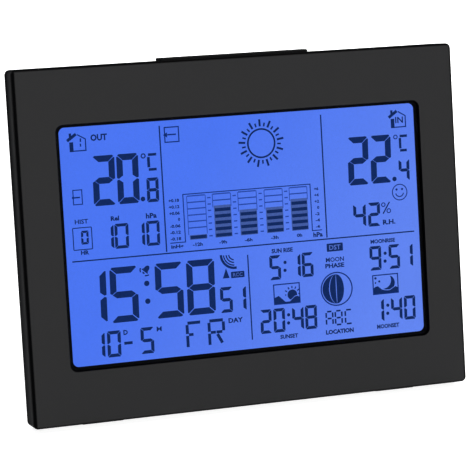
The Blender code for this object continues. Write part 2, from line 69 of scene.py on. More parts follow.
# The casing's dimensions, as in the design
FACE_W, FACE_H = 195.0, 148.3
HALF_W = FACE_W / 2
BEZEL_D, WALL = 11.5, 2.0
CASE_CORNER, CASE_EDGE, LEAD_IN = 2.2, 0.95, 0.45
FOOT_DROP = 2.6
MID_Z = FACE_H / 2 - 0.2
WINDOW, WINDOW_CORNER, LIP = ((-80.05, 81.05), (MID_Z - 51.6, MID_Z + 50.55)), 3.0, 1.2
LENS = (82.5, 53.0)
FLANGE_Y = 9.5
PLATEAU, PLATEAU_Y = (86.0, 8.0, 140.0), 18.0
TOWER, TOWER_Y = (38.0, 9.0, 124.0), 28.0
KEYHOLE_X, KEYHOLE_Z = 62.0, 120.0
KEYHOLE_HEAD_R, KEYHOLE_NECK_R, KEYHOLE_RISE = 4.2, 2.2, 8.0
BOSS_HALF, BOSS_Z = 9.0, (112.0, 136.0)
PIVOT_Y, PIVOT_Z, LEG_REACH = 25.2, 61.5, 61.5
LEG_HALF, LEG_THICK, PAD_H = 25.0, 3.0, 2.2
POCKET_HALF, POCKET_TOP, POCKET_Y = 25.4, 68.6, 21.0
TRUNNION_R, TRUNNION_LEN = 2.0, 3.8
BAY, BAY_FLOOR_Y = (29.5, 72.0, 118.0), 11.2
DOOR, DOOR_Y = (33.0, 70.8, 119.5), (26.3, 28.0)
CELL_R, CELL_LEN = 7.25, 50.5
CELL_Y = DOOR_Y[0] - GAP - CELL_R
BAR_HALF, BAR_Y, BAR_PROUD = 32.8, (3.0, 11.0), 1.2
BUTTON_X, BUTTON_ZS, BUTTON_R = 56.0, (22.0, 38.0, 54.0), 3.6
SCREW_X, SCREW_ZS, THREAD_PITCH = 90.3, (9.0, 74.0, 139.0), 0.6
BUZZER, BUZZER_RING, BUZZER_HOLE_R = (-66.0, 84.0), 4, 0.9
POST_R, PILOT_R, SCREW_HOLE_R = 3.0, 1.5, 1.6
SLOTS, SLOT_X, SLOT_LOW, SLOT_PITCH, SLOT_TALL = 5, (62, 80), 82, 4.2, 1.8
SHELF_X, SHELF_Z = 34, (133.0, 134.9)
LABEL_HALF, LABEL_Z = 17, (24, 50)
BOARD_SCREW_X, BOARD_SCREW_ZS, BOARD_FACE_Y = 65.5, (27.0, 58.0), 12.3
FOOT_X, FOOT_HALF, FOOT_Y = 66.0, 9.0, (6.9, 10.6)

# The display's printed border and picture: the border's opening, and the depths of both
APERTURE, APERTURE_CORNER = ((-78.42, 79.42), (MID_Z - 50.0, MID_Z + 49.43)), 2.5
BORDER_Y = (2.34, 2.40)
SHADE_Y = (2.53, 2.56)
INK_Y = (2.44, 2.50)
TOP_INK_Y = (2.41, 2.43)

joints = {joint["name"]: joint for joint in frame["joints"]}


def case_matrix():
    """The case's frame, from the snooze bar's travel and the leg's pivot."""
    up = -Vector(joints["snooze_press"]["axis"]).normalized()
    across = Vector((1, 0, 0))
    inward = up.cross(across)
    pivot = Vector(joints["stand_fold"]["pos_m"])
    origin = pivot - (inward * PIVOT_Y + up * PIVOT_Z) * MM
    matrix = Matrix((across, inward, up)).transposed().to_4x4()
    matrix.translation = origin
    return matrix


CASE = case_matrix()
LEAN = math.atan2(CASE[1][2], CASE[2][2])
OPENED = math.radians(joints["stand_fold"]["range_deg"][1])
UPRIGHT = OPENED - LEAN
LEG = CASE @ Matrix.Translation((0, PIVOT_Y * MM, PIVOT_Z * MM)) @ Matrix.Rotation(OPENED, 4, "X")


# ---- shapes: each solid is (points, faces) in millimetres ----


def quarter(steps):
    """Even turns from nothing to a right angle."""
    return [math.pi / 2 * k / steps for k in range(steps + 1)]


def circle(centre, radius, sides):
    turns = [2 * math.pi * k / sides for k in range(sides)]
    return [(centre[0] + radius * math.cos(t), centre[1] + radius * math.sin(t)) for t in turns]


def arc_points(centre, radius, start, end, steps=14):
    """Points along an arc between two angles in degrees."""
    turns = [math.radians(start + (end - start) * k / steps) for k in range(steps + 1)]
    return [(centre[0] + radius * math.cos(t), centre[1] + radius * math.sin(t)) for t in turns]


def rectangle(u, v, corner, steps=10):
    """The outline of a rectangle between two (low, high) spans, with round corners."""
    if corner <= 0:
        return [(u[0], v[0]), (u[1], v[0]), (u[1], v[1]), (u[0], v[1])]
    u_low, u_high, v_low, v_high = u[0] + corner, u[1] - corner, v[0] + corner, v[1] - corner
    centres = (u_high, v_low), (u_high, v_high), (u_low, v_high), (u_low, v_low)
    starts = (-90, 0, 90, 180)
    return [
        point
        for centre, start in zip(centres, starts)
        for point in arc_points(centre, corner, start, start + 90, steps)
    ]


def inset_spans(u, v, inset):
    return (u[0] + inset, u[1] - inset), (v[0] + inset, v[1] - inset)


def inset_rectangle(u, v, inset, corner, steps=10):
    """The outline that lies inside such a rectangle by an inset, with its corners to match."""
    radius = max(corner - inset, 0.05) if corner else 0
    return rectangle(*inset_spans(u, v, inset), radius, steps)


def span(half):
    return (-half, half)


def around_mid(half_height):
    return (MID_Z - half_height, MID_Z + half_height)


def ring_solid(rings, hollow=False):
    """Joins rings of equal length into a closed solid; a hollow one joins its last to its first."""
    count = len(rings[0])
    points = [point for ring in rings for point in ring]
    pairs = list(zip(range(len(rings)), range(1, len(rings))))
    if hollow:
        pairs.append((len(rings) - 1, 0))
    faces = [
        (a * count + k, a * count + (k + 1) % count, b * count + (k + 1) % count, b * count + k)
        for a, b in pairs
        for k in range(count)
    ]
    if not hollow:
        faces += [tuple(range(count)), tuple(range(len(points) - count, len(points)))]
    return points, faces


def slab(outline, y):
    """An (x, z) outline made solid between two depths."""
    return ring_solid([[(a, place, b) for a, b in outline] for place in y])


def prism(outline, x):
    """A (y, z) outline drawn out along X."""
    return ring_solid([[(place, y, z) for y, z in outline] for place in x])


def band(outer, inner, y):
    """The solid between two (x, z) outlines and two depths."""
    rings = [(outer, y[0]), (outer, y[1]), (inner, y[1]), (inner, y[0])]
    return ring_solid([[(a, place, b) for a, b in outline] for outline, place in rings], hollow=True)


def frame_line(u, v, y, width, corner=0.0, steps=10):
    """A thin rectangle, drawn as a raised line."""
    outer, inner = (inset_rectangle(u, v, inset, corner, steps) for inset in (0, width))
    return band(outer, inner, y)


def turn_to(axis, u, v, w):
    """The point at u, v across an axis and w along it."""
    return {"X": (w, u, v), "Y": (u, w, v), "Z": (u, v, w)}[axis]


def layered(u, v, layers, corner=0.0, axis="Y"):
    """Rounded rectangles stacked along an axis; a layer is (place along it, inset)."""
    outlines = [(place, inset_rectangle(u, v, inset, corner)) for place, inset in layers]
    return ring_solid([[turn_to(axis, a, b, place) for a, b in outline] for place, outline in outlines])


def turned(axis, centre, profile, sides=40):
    """A round solid along an axis, from (place, radius) pairs; centre is (u, v) across it."""
    outlines = [(place, circle(centre, radius, sides)) for place, radius in profile]
    return ring_solid([[turn_to(axis, a, b, place) for a, b in outline] for place, outline in outlines])


def soft_ends(low, high, low_r=0.0, high_r=0.0):
    """Layers from low to high whose two rims are quarter rounds."""
    turns = quarter(7)
    first = [(low + low_r * (1 - math.cos(t)), low_r * (1 - math.sin(t))) for t in turns]
    last = [(high - high_r * (1 - math.cos(t)), high_r * (1 - math.sin(t))) for t in turns]
    return (first if low_r else [(low, 0)]) + (last[::-1] if high_r else [(high, 0)])


def block(x, y, z):
    return layered(x, z, [(y[0], 0), (y[1], 0)])


# ---- objects ----


def linked(name, data):
    """A new object in the scene's collection."""
    obj = bpy.data.objects.new(name, data)
    bpy.context.scene.collection.objects.link(obj)
    return obj


def mesh_object(name, shapes, matrix=CASE):
    """One object whose mesh holds the shapes, with every face turned outward."""
    shell = bmesh.new()
    for points, faces in shapes:
        corners = [shell.verts.new([value * MM for value in point]) for point in points]
        for face in faces:
            shell.faces.new([corners[k] for k in face])
    bmesh.ops.recalc_face_normals(shell, faces=shell.faces)
    mesh = bpy.data.meshes.new(name)
    shell.to_mesh(mesh)
    shell.free()
    obj = linked(name, mesh)
    obj.matrix_world = matrix
    return obj


def copy_at(master, name, place, turn=0.0):
    """A copy of the master's mesh at a place in the case's frame, turned about Y."""
    obj = linked(name, master.data.copy())
    shift = Matrix.Translation([value * MM for value in place])
    obj.matrix_world = CASE @ shift @ Matrix.Rotation(turn, 4, "Y")
    return obj


def evaluated_mesh(obj):
    bpy.context.view_layer.update()
    graph = bpy.context.evaluated_depsgraph_get()
    return bpy.data.meshes.new_from_object(obj.evaluated_get(graph))


def discard(obj):
    bpy.data.objects.remove(obj, do_unlink=True)


def bake(obj):
    """Makes the object's modifiers part of its mesh."""
    mesh = evaluated_mesh(obj)
    obj.modifiers.clear()
    obj.data = mesh


def carve(obj, operation, shapes):
    helper = mesh_object("helper", shapes, obj.matrix_world)
    modifier = obj.modifiers.new("boolean", "BOOLEAN")
    modifier.operation = operation
    modifier.object = helper
    modifier.solver = "EXACT"
    bake(obj)
    discard(helper)


def join(obj, *shapes):
    carve(obj, "UNION", shapes)


def cut(obj, *shapes):
    carve(obj, "DIFFERENCE", shapes)


def soften(obj, width):
    """Rounds the object's sharp edges."""
    bevel = obj.modifiers.new("bevel", "BEVEL")
    bevel.width = width * MM
    bevel.segments = 3
    bevel.limit_method = "ANGLE"
    bevel.angle_limit = math.radians(30)
    bake(obj)


def settle(obj):
    """Moves the object's place into its mesh, so that its box in the row's frame is exact."""
    obj.data.transform(obj.matrix_world)
    obj.matrix_world = Matrix()


def dress(obj, finish, body, slot, *replaced):
    """Shades the piece, gives it its material, and puts it on its body in place of CAD nodes."""
    obj.data.shade_smooth()
    obj.data.set_sharp_from_angle(angle=math.radians(SHARP_DEG))
    weighted = obj.modifiers.new("weighted normals", "WEIGHTED_NORMAL")
    weighted.keep_sharp = True
    obj.data.materials.clear()
    obj.data.materials.append(materials[finish])
    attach(obj, body)
    if replaced:
        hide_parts(*replaced)


# ---- materials ----

materials = {}


class Graph:
    """Short names for the nodes that the materials share. Places are in millimetres."""

    INPUTS = {
        "colour": "Base Color",
        "roughness": "Roughness",
        "metallic": "Metallic",
        "normal": "Normal",
        "specular": "Specular IOR Level",
        "sheen": "Sheen Weight",
        "coat": "Coat Weight",
        "glow": "Emission Color",
        "glow_strength": "Emission Strength",
    }

    def __init__(self, name):
        self.material = materials[name] = bpy.data.materials.new(name)
        self.material.use_nodes = True
        self.nodes = self.material.node_tree.nodes
        self.links = self.material.node_tree.links
        self.shader = self.nodes["Principled BSDF"]
        self.output = self.nodes["Material Output"]
        source = self.put("ShaderNodeTexCoord").outputs["Object"]
        values = [(0, source), ("Scale", 1 / MM)]
        self.place = self.put("ShaderNodeVectorMath", values, operation="SCALE").outputs[0]

    def put(self, kind, values=(), **settings):
        node = self.nodes.new(kind)
        for key, value in settings.items():
            setattr(node, key, value)
        for key, value in values:
            self.set(node.inputs[key], value)
        return node

    def set(self, socket, value):
        if isinstance(value, bpy.types.NodeSocket):
            self.links.new(value, socket)
        elif isinstance(value, tuple) and len(value) == 3 and socket.type == "RGBA":
            socket.default_value = (*value, 1.0)
        else:
            socket.default_value = value

    def axes(self):
        return self.put("ShaderNodeSeparateXYZ", [(0, self.place)]).outputs

    def noise(self, scale, detail=3.0, rough=0.55, place=None):
        values = [("Vector", place or self.place), ("Scale", scale), ("Detail", detail)]
        return self.put("ShaderNodeTexNoise", [*values, ("Roughness", rough)]).outputs["Fac"]

    def cells(self, scale):
        values = [("Vector", self.place), ("Scale", scale)]
        return self.put("ShaderNodeTexVoronoi", values).outputs["Distance"]

    def remap(self, value, low, high, to_low=0.0, to_high=1.0):
        values = [("Value", value), (1, low), (2, high), (3, to_low), (4, to_high)]
        return self.put("ShaderNodeMapRange", values, clamp=True).outputs[0]

    def spread(self, noise, low, high):
        """A noise's usual range, spread from low to high."""
        return self.remap(noise, 0.3, 0.7, low, high)

    def math(self, operation, *values):
        return self.put("ShaderNodeMath", list(enumerate(values)), operation=operation).outputs[0]

    def plus(self, a, b):
        return self.math("ADD", a, b)

    def minus(self, a, b):
        return self.math("SUBTRACT", a, b)

    def times(self, a, b):
        return self.math("MULTIPLY", a, b)

    def most(self, *values):
        return functools.reduce(lambda a, b: self.math("MAXIMUM", a, b), values)

    def least(self, *values):
        return functools.reduce(lambda a, b: self.math("MINIMUM", a, b), values)

    def mix(self, factor, first, second):
        values = [(0, factor), (6, first), (7, second)]
        return self.put("ShaderNodeMix", values, data_type="RGBA").outputs[2]

    def bump(self, height, distance, strength=1.0):
        values = [("Height", height), ("Distance", distance * MM), ("Strength", strength)]
        return self.put("ShaderNodeBump", values).outputs[0]

    def edge(self, radius):
        """1 along sharp edges, falling to 0 a radius away from them."""
        soft = self.put("ShaderNodeBevel", [("Radius", radius * MM)], samples=4).outputs[0]
        flat = self.put("ShaderNodeNewGeometry").outputs["Normal"]
        dot = self.put("ShaderNodeVectorMath", [(0, soft), (1, flat)], operation="DOT_PRODUCT")
        return self.remap(dot.outputs["Value"], 0.98, 0.75)

    def finish(self, **values):
        for key, value in values.items():
            self.set(self.shader.inputs[self.INPUTS[key]], value)
        return self.material


def toned(colour, share, extra=0.0):
    """A colour made lighter or darker."""
    return tuple(part * share + extra for part in colour)


def moulded(name, colour, grain=4.0, roughness=0.46, specular=0.35, wear=0.5, rim=None):
    """Spark-textured plastic: a fine grain, slow changes in gloss, and polished, worn edges; with a rim,
    near-black painted shade on the rims, the top, the window's walls and the rear of the sides.
    """
    g = Graph(name)
    fine = g.noise(grain, 4.0, 0.6)
    pits = g.cells(grain * 0.8)
    slow = g.noise(0.035, 2.0)
    edge = g.edge(0.5)
    base = g.mix(g.remap(fine, 0.35, 0.65), toned(colour, 0.86), toned(colour, 1.16, 0.001))
    base = g.mix(g.spread(slow, 0.0, 0.35), base, colour)
    rubbed = g.remap(g.noise(0.4), 0.4, 0.7, 0.2 * wear, wear)
    base = g.mix(g.times(edge, rubbed), base, toned(colour, 1.7, 0.004))
    slow_gloss = g.spread(slow, roughness - 0.04, roughness + 0.04)
    rough = g.plus(slow_gloss, g.remap(fine, 0, 1, -0.05, 0.05))
    rough = g.minus(rough, g.times(edge, 0.12))
    # A rim's near-black colour is painted shade, with its own gloss and a dull specular level to go with it
    if rim:
        black, gloss, dull = rim
        mask = painted_shade_mask(g)
        _, y, z = g.axes()
        # Painted shade: the sides turn near-black towards the rear, and more so higher up
        painted_rear_shade = g.times(g.remap(y, 3.0, 7.5, 0.0, 0.95), g.remap(z, 0.0, FACE_H, 0.65, 1.0))
        painted_shade_share = g.most(mask, painted_rear_shade)
        base = g.mix(painted_shade_share, base, black)
        rough = g.times(rough, g.minus(1.0, mask))
        rough = g.plus(rough, g.times(mask, gloss))
        specular = g.remap(painted_shade_share, 0.0, 1.0, specular, dull)
    height = g.plus(fine, g.times(pits, 0.6))
    g.finish(colour=base, roughness=rough, specular=specular, normal=g.bump(height, 0.010, 0.7))


# Where shade is painted near-black on the glossier rims, the top and the window's walls: distances in from the
# case's outline, and depths behind the face
LEFT_RIM, OTHER_RIM = (1.45, 1.95), (0.4, 1.5)
FACE_TOP, TOP_EDGE = (1.2, 0.7), (0.9, 0.6)
FACE_DEPTH, SIDE_DEPTH, WINDOW_DEPTH = (0.1, 0.8), (2.0, 4.0), (0.03, 0.10)
WINDOW_FROM = (8.0, 9.0)
BOTTOM_SHIFT = 0.3


def painted_shade_mask(g):
    """1 where shade is painted: on the glossier rims round the face and the window, where they show dark
    reflections, on the top edge, and on the window's walls.
    """
    x, y, z = g.axes()
    left = g.plus(x, HALF_W)
    others = g.least(g.minus(HALF_W, x), g.plus(z, BOTTOM_SHIFT))
    near_face = g.remap(y, *FACE_DEPTH, 1.0, 0.0)
    left_rim = g.times(g.remap(left, *LEFT_RIM, 1.0, 0.0), near_face)
    other_rim = g.times(g.remap(others, *OTHER_RIM, 1.0, 0.0), g.remap(y, *SIDE_DEPTH, 1.0, 0.0))
    face_top, top_edge = (g.remap(z, FACE_H - low, FACE_H - high) for low, high in (FACE_TOP, TOP_EDGE))
    inside = g.least(left, others, g.minus(FACE_H, z))
    window = g.times(g.remap(y, *WINDOW_DEPTH), g.remap(inside, *WINDOW_FROM))
    return g.most(g.most(left_rim, other_rim), g.most(g.times(face_top, near_face), top_edge), window)


def rubber(name, colour):
    g = Graph(name)
    fine = g.noise(6.0, 4.0, 0.6)
    dust = g.remap(g.noise(0.5, 4.0, 0.7), 0.52, 0.75, 0.0, 0.35)
    base = g.mix(dust, g.mix(fine, colour, toned(colour, 1.5)), (0.09, 0.088, 0.085))
    rough = g.spread(fine, 0.72, 0.92)
    g.finish(colour=base, roughness=rough, specular=0.25, sheen=0.08, normal=g.bump(fine, 0.02))


def metal(name, colour, roughness, tarnish=None):
    """Drawn or plated metal with fine scratches and a little tarnish."""
    g = Graph(name)
    values = [(0, g.place), (1, (0.15, 1.0, 1.0))]
    stretch = g.put("ShaderNodeVectorMath", values, operation="MULTIPLY").outputs[0]
    scratches = g.noise(6.0, 5.0, 0.7, stretch)
    stain = g.remap(g.noise(0.6), 0.5, 0.75, 0.0, 0.5)
    base = g.mix(stain, colour, tarnish or toned(colour, 0.6))
    base = g.mix(g.remap(scratches, 0.4, 0.6, 0.0, 0.25), base, toned(colour, 1.2))
    rough = g.spread(scratches, roughness - 0.08, roughness + 0.12)
    g.finish(colour=base, roughness=rough, metallic=1.0, normal=g.bump(scratches, 0.006))


def circuit_board(name, colour):
    """Solder mask with straight tracks, pads and a faint glass weave."""
    g = Graph(name)
    values = [("Vector", g.place), ("Scale", 0.55), ("Mortar Size", 0.05)]
    grid = g.put("ShaderNodeTexBrick", values, offset=0.37)
    tracks = g.remap(grid.outputs["Fac"], 0.0, 1.0)
    pads = g.remap(g.cells(0.5), 0.10, 0.13, 1.0, 0.0)
    weave = g.noise(2.5, 2.0)
    base = g.mix(g.times(tracks, 0.5), colour, toned(colour, 2.0))
    base = g.mix(g.spread(weave, 0.0, 0.2), base, toned(colour, 0.5))
    base = g.mix(pads, base, (0.62, 0.62, 0.58))
    rough = g.spread(weave, 0.28, 0.42)
    shine = g.times(pads, 0.9)
    height = g.plus(g.times(tracks, 0.4), pads)
    g.finish(colour=base, roughness=rough, metallic=shine, normal=g.bump(height, 0.03))


def film(name, colour, roughness=0.5):
    g = Graph(name)
    soft = g.noise(0.08)
    fine = g.noise(5.0)
    base = g.mix(g.spread(soft, 0.0, 0.3), colour, toned(colour, 0.92))
    rough = g.spread(fine, roughness - 0.06, roughness + 0.06)
    g.finish(colour=base, roughness=rough, normal=g.bump(fine, 0.004))


def clear_plastic(name):
    """The window over the display: it lets the picture through and keeps a thin gloss."""
    g = Graph(name)
    smear = g.remap(g.noise(0.06, 4.0, 0.6), 0.3, 0.8, 0.02, 0.10)
    through = g.put("ShaderNodeBsdfTransparent", [("Color", (0.985, 0.988, 0.995))])
    gloss = g.put("ShaderNodeBsdfGlossy", [("Color", (1.0, 1.0, 1.0)), ("Roughness", smear)])
    facing = g.put("ShaderNodeFresnel", [("IOR", 1.30)]).outputs[0]
    both = g.put("ShaderNodeMixShader", [(0, facing), (1, through.outputs[0]), (2, gloss.outputs[0])])
    g.links.new(both.outputs[0], g.output.inputs[0])
    g.nodes.remove(g.shader)


def backlight(name):
    """The lit liquid-crystal panel: a row of lamps at the right edge fades and deepens to the left."""
    g = Graph(name)
    x, _, z = g.axes()
    across = g.remap(x, -80.5, 80.5, 0.0, 1.206)
    down = g.remap(z, 22.9, 125.0, 0.56, 0.0)
    along = g.remap(g.plus(across, down), 0.56, 1.56)
    deep, pale = (0.0650, 0.1700, 0.868), (0.1210, 0.2310, 0.862)
    speckle = g.spread(g.noise(1.1), 0.97, 1.03)
    cloud = g.spread(g.noise(0.03, 2.0), 0.97, 1.02)
    glow = {"glow": g.mix(along, deep, pale), "glow_strength": g.times(speckle, cloud)}
    g.finish(colour=(0.01, 0.02, 0.05), roughness=0.35, specular=0.0, **glow)


def ink(name, colour):
    """Switched-on segments: dark blue, with a slight mottle."""
    g = Graph(name)
    mottle = g.spread(g.noise(1.5), 0.0, 1.0)
    glow = {"glow": g.mix(mottle, toned(colour, 0.85), toned(colour, 1.15)), "glow_strength": 1.0}
    g.finish(colour=(0.002, 0.004, 0.01), roughness=0.5, specular=0.0, **glow)


def printed(name, colour, roughness=0.6):
    """Flat screen-printed ink with pinholes and a soft edge to its gloss."""
    g = Graph(name)
    fine = g.noise(3.0)
    base = g.mix(g.remap(fine, 0.35, 0.75, 0.0, 0.3), colour, toned(colour, 0.7))
    rough = g.spread(fine, roughness - 0.08, roughness + 0.08)
    g.finish(colour=base, roughness=rough, specular=0.1, normal=g.bump(fine, 0.004))


def cell_wrapper(name):
    """A battery's printed sleeve: graphite with a pale band at its positive end and a thin ring."""
    g = Graph(name)
    x, _, _ = g.axes()
    fine = g.noise(2.0)
    band_share, ring_share = (
        g.times(g.remap(x, low, low + 0.1), g.remap(x, high - 0.1, high, 1.0, 0.0))
        for low, high in ((13.0, 23.0), (11.3, 12.0))
    )
    base = g.mix(fine, (0.035, 0.04, 0.05), (0.05, 0.056, 0.066))
    base = g.mix(band_share, base, (0.16, 0.30, 0.36))
    base = g.mix(ring_share, base, (0.55, 0.56, 0.56))
    rough = g.spread(fine, 0.22, 0.34)
    g.finish(colour=base, roughness=rough, metallic=0.35, coat=0.4, normal=g.bump(fine, 0.004))


def edge_lit(name):
    """The light guide: clear acrylic with a grid of printed dots that carries the blue light."""
    g = Graph(name)
    dots = g.remap(g.cells(0.6), 0.20, 0.26, 1.0, 0.0)
    base = g.mix(dots, (0.35, 0.48, 0.85), (0.8, 0.86, 0.95))
    g.finish(colour=base, roughness=g.remap(dots, 0, 1, 0.08, 0.5), glow=base, glow_strength=0.25)


def make_materials():
    black = (0.022, 0.022, 0.0225)
    # The front's near-black rim colour is painted shade on its rims, top, window walls and rear sides
    moulded("front_plastic", black, rim=((0.0012, 0.0012, 0.0014), 0.35, 0.04))
    moulded("case_plastic", black)
    moulded("bar_plastic", (0.010, 0.010, 0.0103), grain=6.0, roughness=0.5, specular=0.2, wear=0.0)
    moulded("button_plastic", (0.020, 0.020, 0.0205), grain=6.0, roughness=0.5)
    moulded("holder_white", (0.66, 0.66, 0.64), grain=5.0, roughness=0.5)
    moulded("epoxy", (0.010, 0.010, 0.010), grain=2.0, roughness=0.28, specular=0.5)
    moulded("ferrite", (0.05, 0.05, 0.054), grain=8.0, roughness=0.62)
    rubber("rubber", (0.014, 0.014, 0.0145))
    rubber("keypad", (0.30, 0.31, 0.33))
    clear_plastic("lens")
    backlight("backlight")
    ink("ink_dark", (0.0034, 0.0180, 0.104))
    ink("ink_fine", (0.0035, 0.024, 0.17))
    ink("ink_pale", (0.018, 0.060, 0.36))
    ink("ink_light", (0.085, 0.165, 0.62))
    ink("ink_shade", (0.055, 0.105, 0.36))
    printed("border_print", (0.0012, 0.0012, 0.0018))
    printed("mark_print", (0.42, 0.42, 0.41))
    printed("label_print", (0.55, 0.55, 0.54), 0.4)
    printed("label_dark", (0.03, 0.03, 0.032), 0.4)
    film("lcd_glass", (0.45, 0.52, 0.56), 0.12)
    film("white_film", (0.82, 0.82, 0.80))
    film("ribbon", (0.42, 0.43, 0.45), 0.55)
    edge_lit("light_guide")
    circuit_board("pcb", (0.015, 0.12, 0.04))
    metal("steel", (0.52, 0.52, 0.51), 0.30)
    metal("nickel", (0.66, 0.64, 0.58), 0.24)
    metal("copper", (0.72, 0.32, 0.12), 0.30, tarnish=(0.35, 0.14, 0.06))
    cell_wrapper("cell_wrap")


# The finish of a CAD node that stays as it is, where its material slot has another name
FINISH_OF_SLOT = {
    "case_black": "case_plastic",
    "button_black": "button_plastic",
    "rubber_black": "rubber",
    "lens_clear": "lens",
    "lcd_blue": "backlight",
    "pcb_green": "pcb",
    "epoxy_black": "epoxy",
    "ferrite_grey": "ferrite",
    "keypad_grey": "keypad",
    "ribbon_grey": "ribbon",
}


def dress_cad_nodes():
    for subpart in frame["record"]["subparts"]:
        mesh = frame["nodes"][subpart["node"]].data
        slot = subpart["material_slot"]
        mesh.materials.clear()
        mesh.materials.append(materials[FINISH_OF_SLOT.get(slot, slot)])


# ---- casing ----


def both_sides(x, zs):
    """The places at x and each of zs, on the left and then on the right."""
    return [(side * x, z) for side in (-1, 1) for z in zs]


def front_bezel():
    """One continuous skin: the window's wall, the inside, the outside and the face's round rim."""
    rebate = span(LENS[0] + 0.5), around_mid(LENS[1] + 0.5)
    inside = span(HALF_W - WALL), (WALL, FACE_H - WALL)
    outside = span(HALF_W), (0, FACE_H)
    lead_in = [(LEAD_IN * (1 - math.sin(t)), LEAD_IN * (math.cos(t) - 1)) for t in quarter(6)]
    path = [(WINDOW, WINDOW_CORNER, y, inset) for y, inset in lead_in[::-1]]
    path += [(WINDOW, WINDOW_CORNER, LIP, 0), (rebate, 1.0, LIP, 0), (rebate, 1.0, WALL, 0)]
    path += [(inside, 1.0, WALL, 0), (inside, 1.0, BEZEL_D, 0)]
    rim = soft_ends(0, BEZEL_D, CASE_EDGE, GAP)
    path += [(outside, CASE_CORNER, y, inset) for y, inset in rim[::-1]]
    rings = [
        [(a, y, b) for a, b in inset_rectangle(*spans, inset, corner, 12)]
        for spans, corner, y, inset in path
    ]
    bezel = mesh_object("bezel_shell", [ring_solid(rings, hollow=True)])
    posts = both_sides(SCREW_X, SCREW_ZS)
    post = [(WALL - 0.5, POST_R), (FLANGE_Y - GAP, POST_R)]
    shelves = [block((x - 1, x + 1), (WALL - 0.5, 8.6), SHELF_Z) for x in span(SHELF_X)]
    join(bezel, *[turned("Y", centre, post, 24) for centre in posts], *shelves)
    notch_y, notch_z = (BAR_Y[0] - GAP, BEZEL_D + 1), (FACE_H - WALL - 1, FACE_H + 1)
    wide, foot_y = FOOT_HALF + GAP, (FOOT_Y[0] - GAP, FOOT_Y[1] + GAP)
    recesses = [block((x - wide, x + wide), foot_y, (-1, 0.8)) for x in span(FOOT_X)]
    pilot = [(WALL + 1, PILOT_R), (FLANGE_Y, PILOT_R)]
    holes = [turned("Y", centre, pilot, 16) for centre in posts]
    cut(bezel, block(span(BAR_HALF + GAP), notch_y, notch_z), *recesses, *holes)
    dress(bezel, "front_plastic", "case", "case_black", "front_bezel")


def hanging_bosses(wall):
    """The two bosses round the keyholes; with a wall thickness, the hollows inside them."""
    front = PLATEAU_Y - 8 if wall else PLATEAU_Y - 4
    rims = soft_ends(front, TOWER_Y - wall, 0, 0 if wall else 1.5)
    return [
        layered(*inset_spans((x - BOSS_HALF, x + BOSS_HALF), BOSS_Z, wall), rims, 4.0 - wall / 2)
        for x in span(KEYHOLE_X)
    ]


def keyhole(x):
    """A round mouth for a screw's head, with a neck above it for the shank."""
    meet = math.degrees(math.asin(KEYHOLE_NECK_R / KEYHOLE_HEAD_R))
    mouth = arc_points((x, KEYHOLE_Z), KEYHOLE_HEAD_R, 90 + meet, 450 - meet, 48)
    neck = arc_points((x, KEYHOLE_Z + KEYHOLE_RISE), KEYHOLE_NECK_R, 0, 180, 12)
    return slab(mouth + neck, (TOWER_Y - WALL - 1, TOWER_Y + 1))


def cover_holes():
    """Buttons, screws, keyholes, the sensor's slots, the buzzer's holes and the snooze bar's room."""
    rim = BUTTON_R + GAP
    dish = [(PLATEAU_Y - 0.5 + 0.06 * k * k, rim + 0.5 * k) for k in range(4)]
    button = [(PLATEAU_Y - 3, rim), *dish, (PLATEAU_Y + 1, rim + 2.2)]
    screw = [(FLANGE_Y - 1, SCREW_HOLE_R), (BEZEL_D + 1, SCREW_HOLE_R)]
    holes = [turned("Y", centre, button) for centre in both_sides(BUTTON_X, BUTTON_ZS)]
    holes += [turned("Y", centre, screw, 20) for centre in both_sides(SCREW_X, SCREW_ZS)]
    holes += [keyhole(x) for x in span(KEYHOLE_X)]
    through = (PLATEAU_Y - 3, PLATEAU_Y + 1)
    for k in range(SLOTS):
        low = SLOT_LOW + SLOT_PITCH * k
        holes.append(layered(SLOT_X, (low, low + SLOT_TALL), [(y, 0) for y in through], 0.85))
    for centre in [BUZZER, *circle(BUZZER, BUZZER_RING, 6)]:
        holes.append(turned("Y", centre, [(y, BUZZER_HOLE_R) for y in through], 16))
    holes.append(block(span(BAR_HALF + 1.2), (FLANGE_Y - 1, BEZEL_D + 1), (144.9, FACE_H)))
    return holes


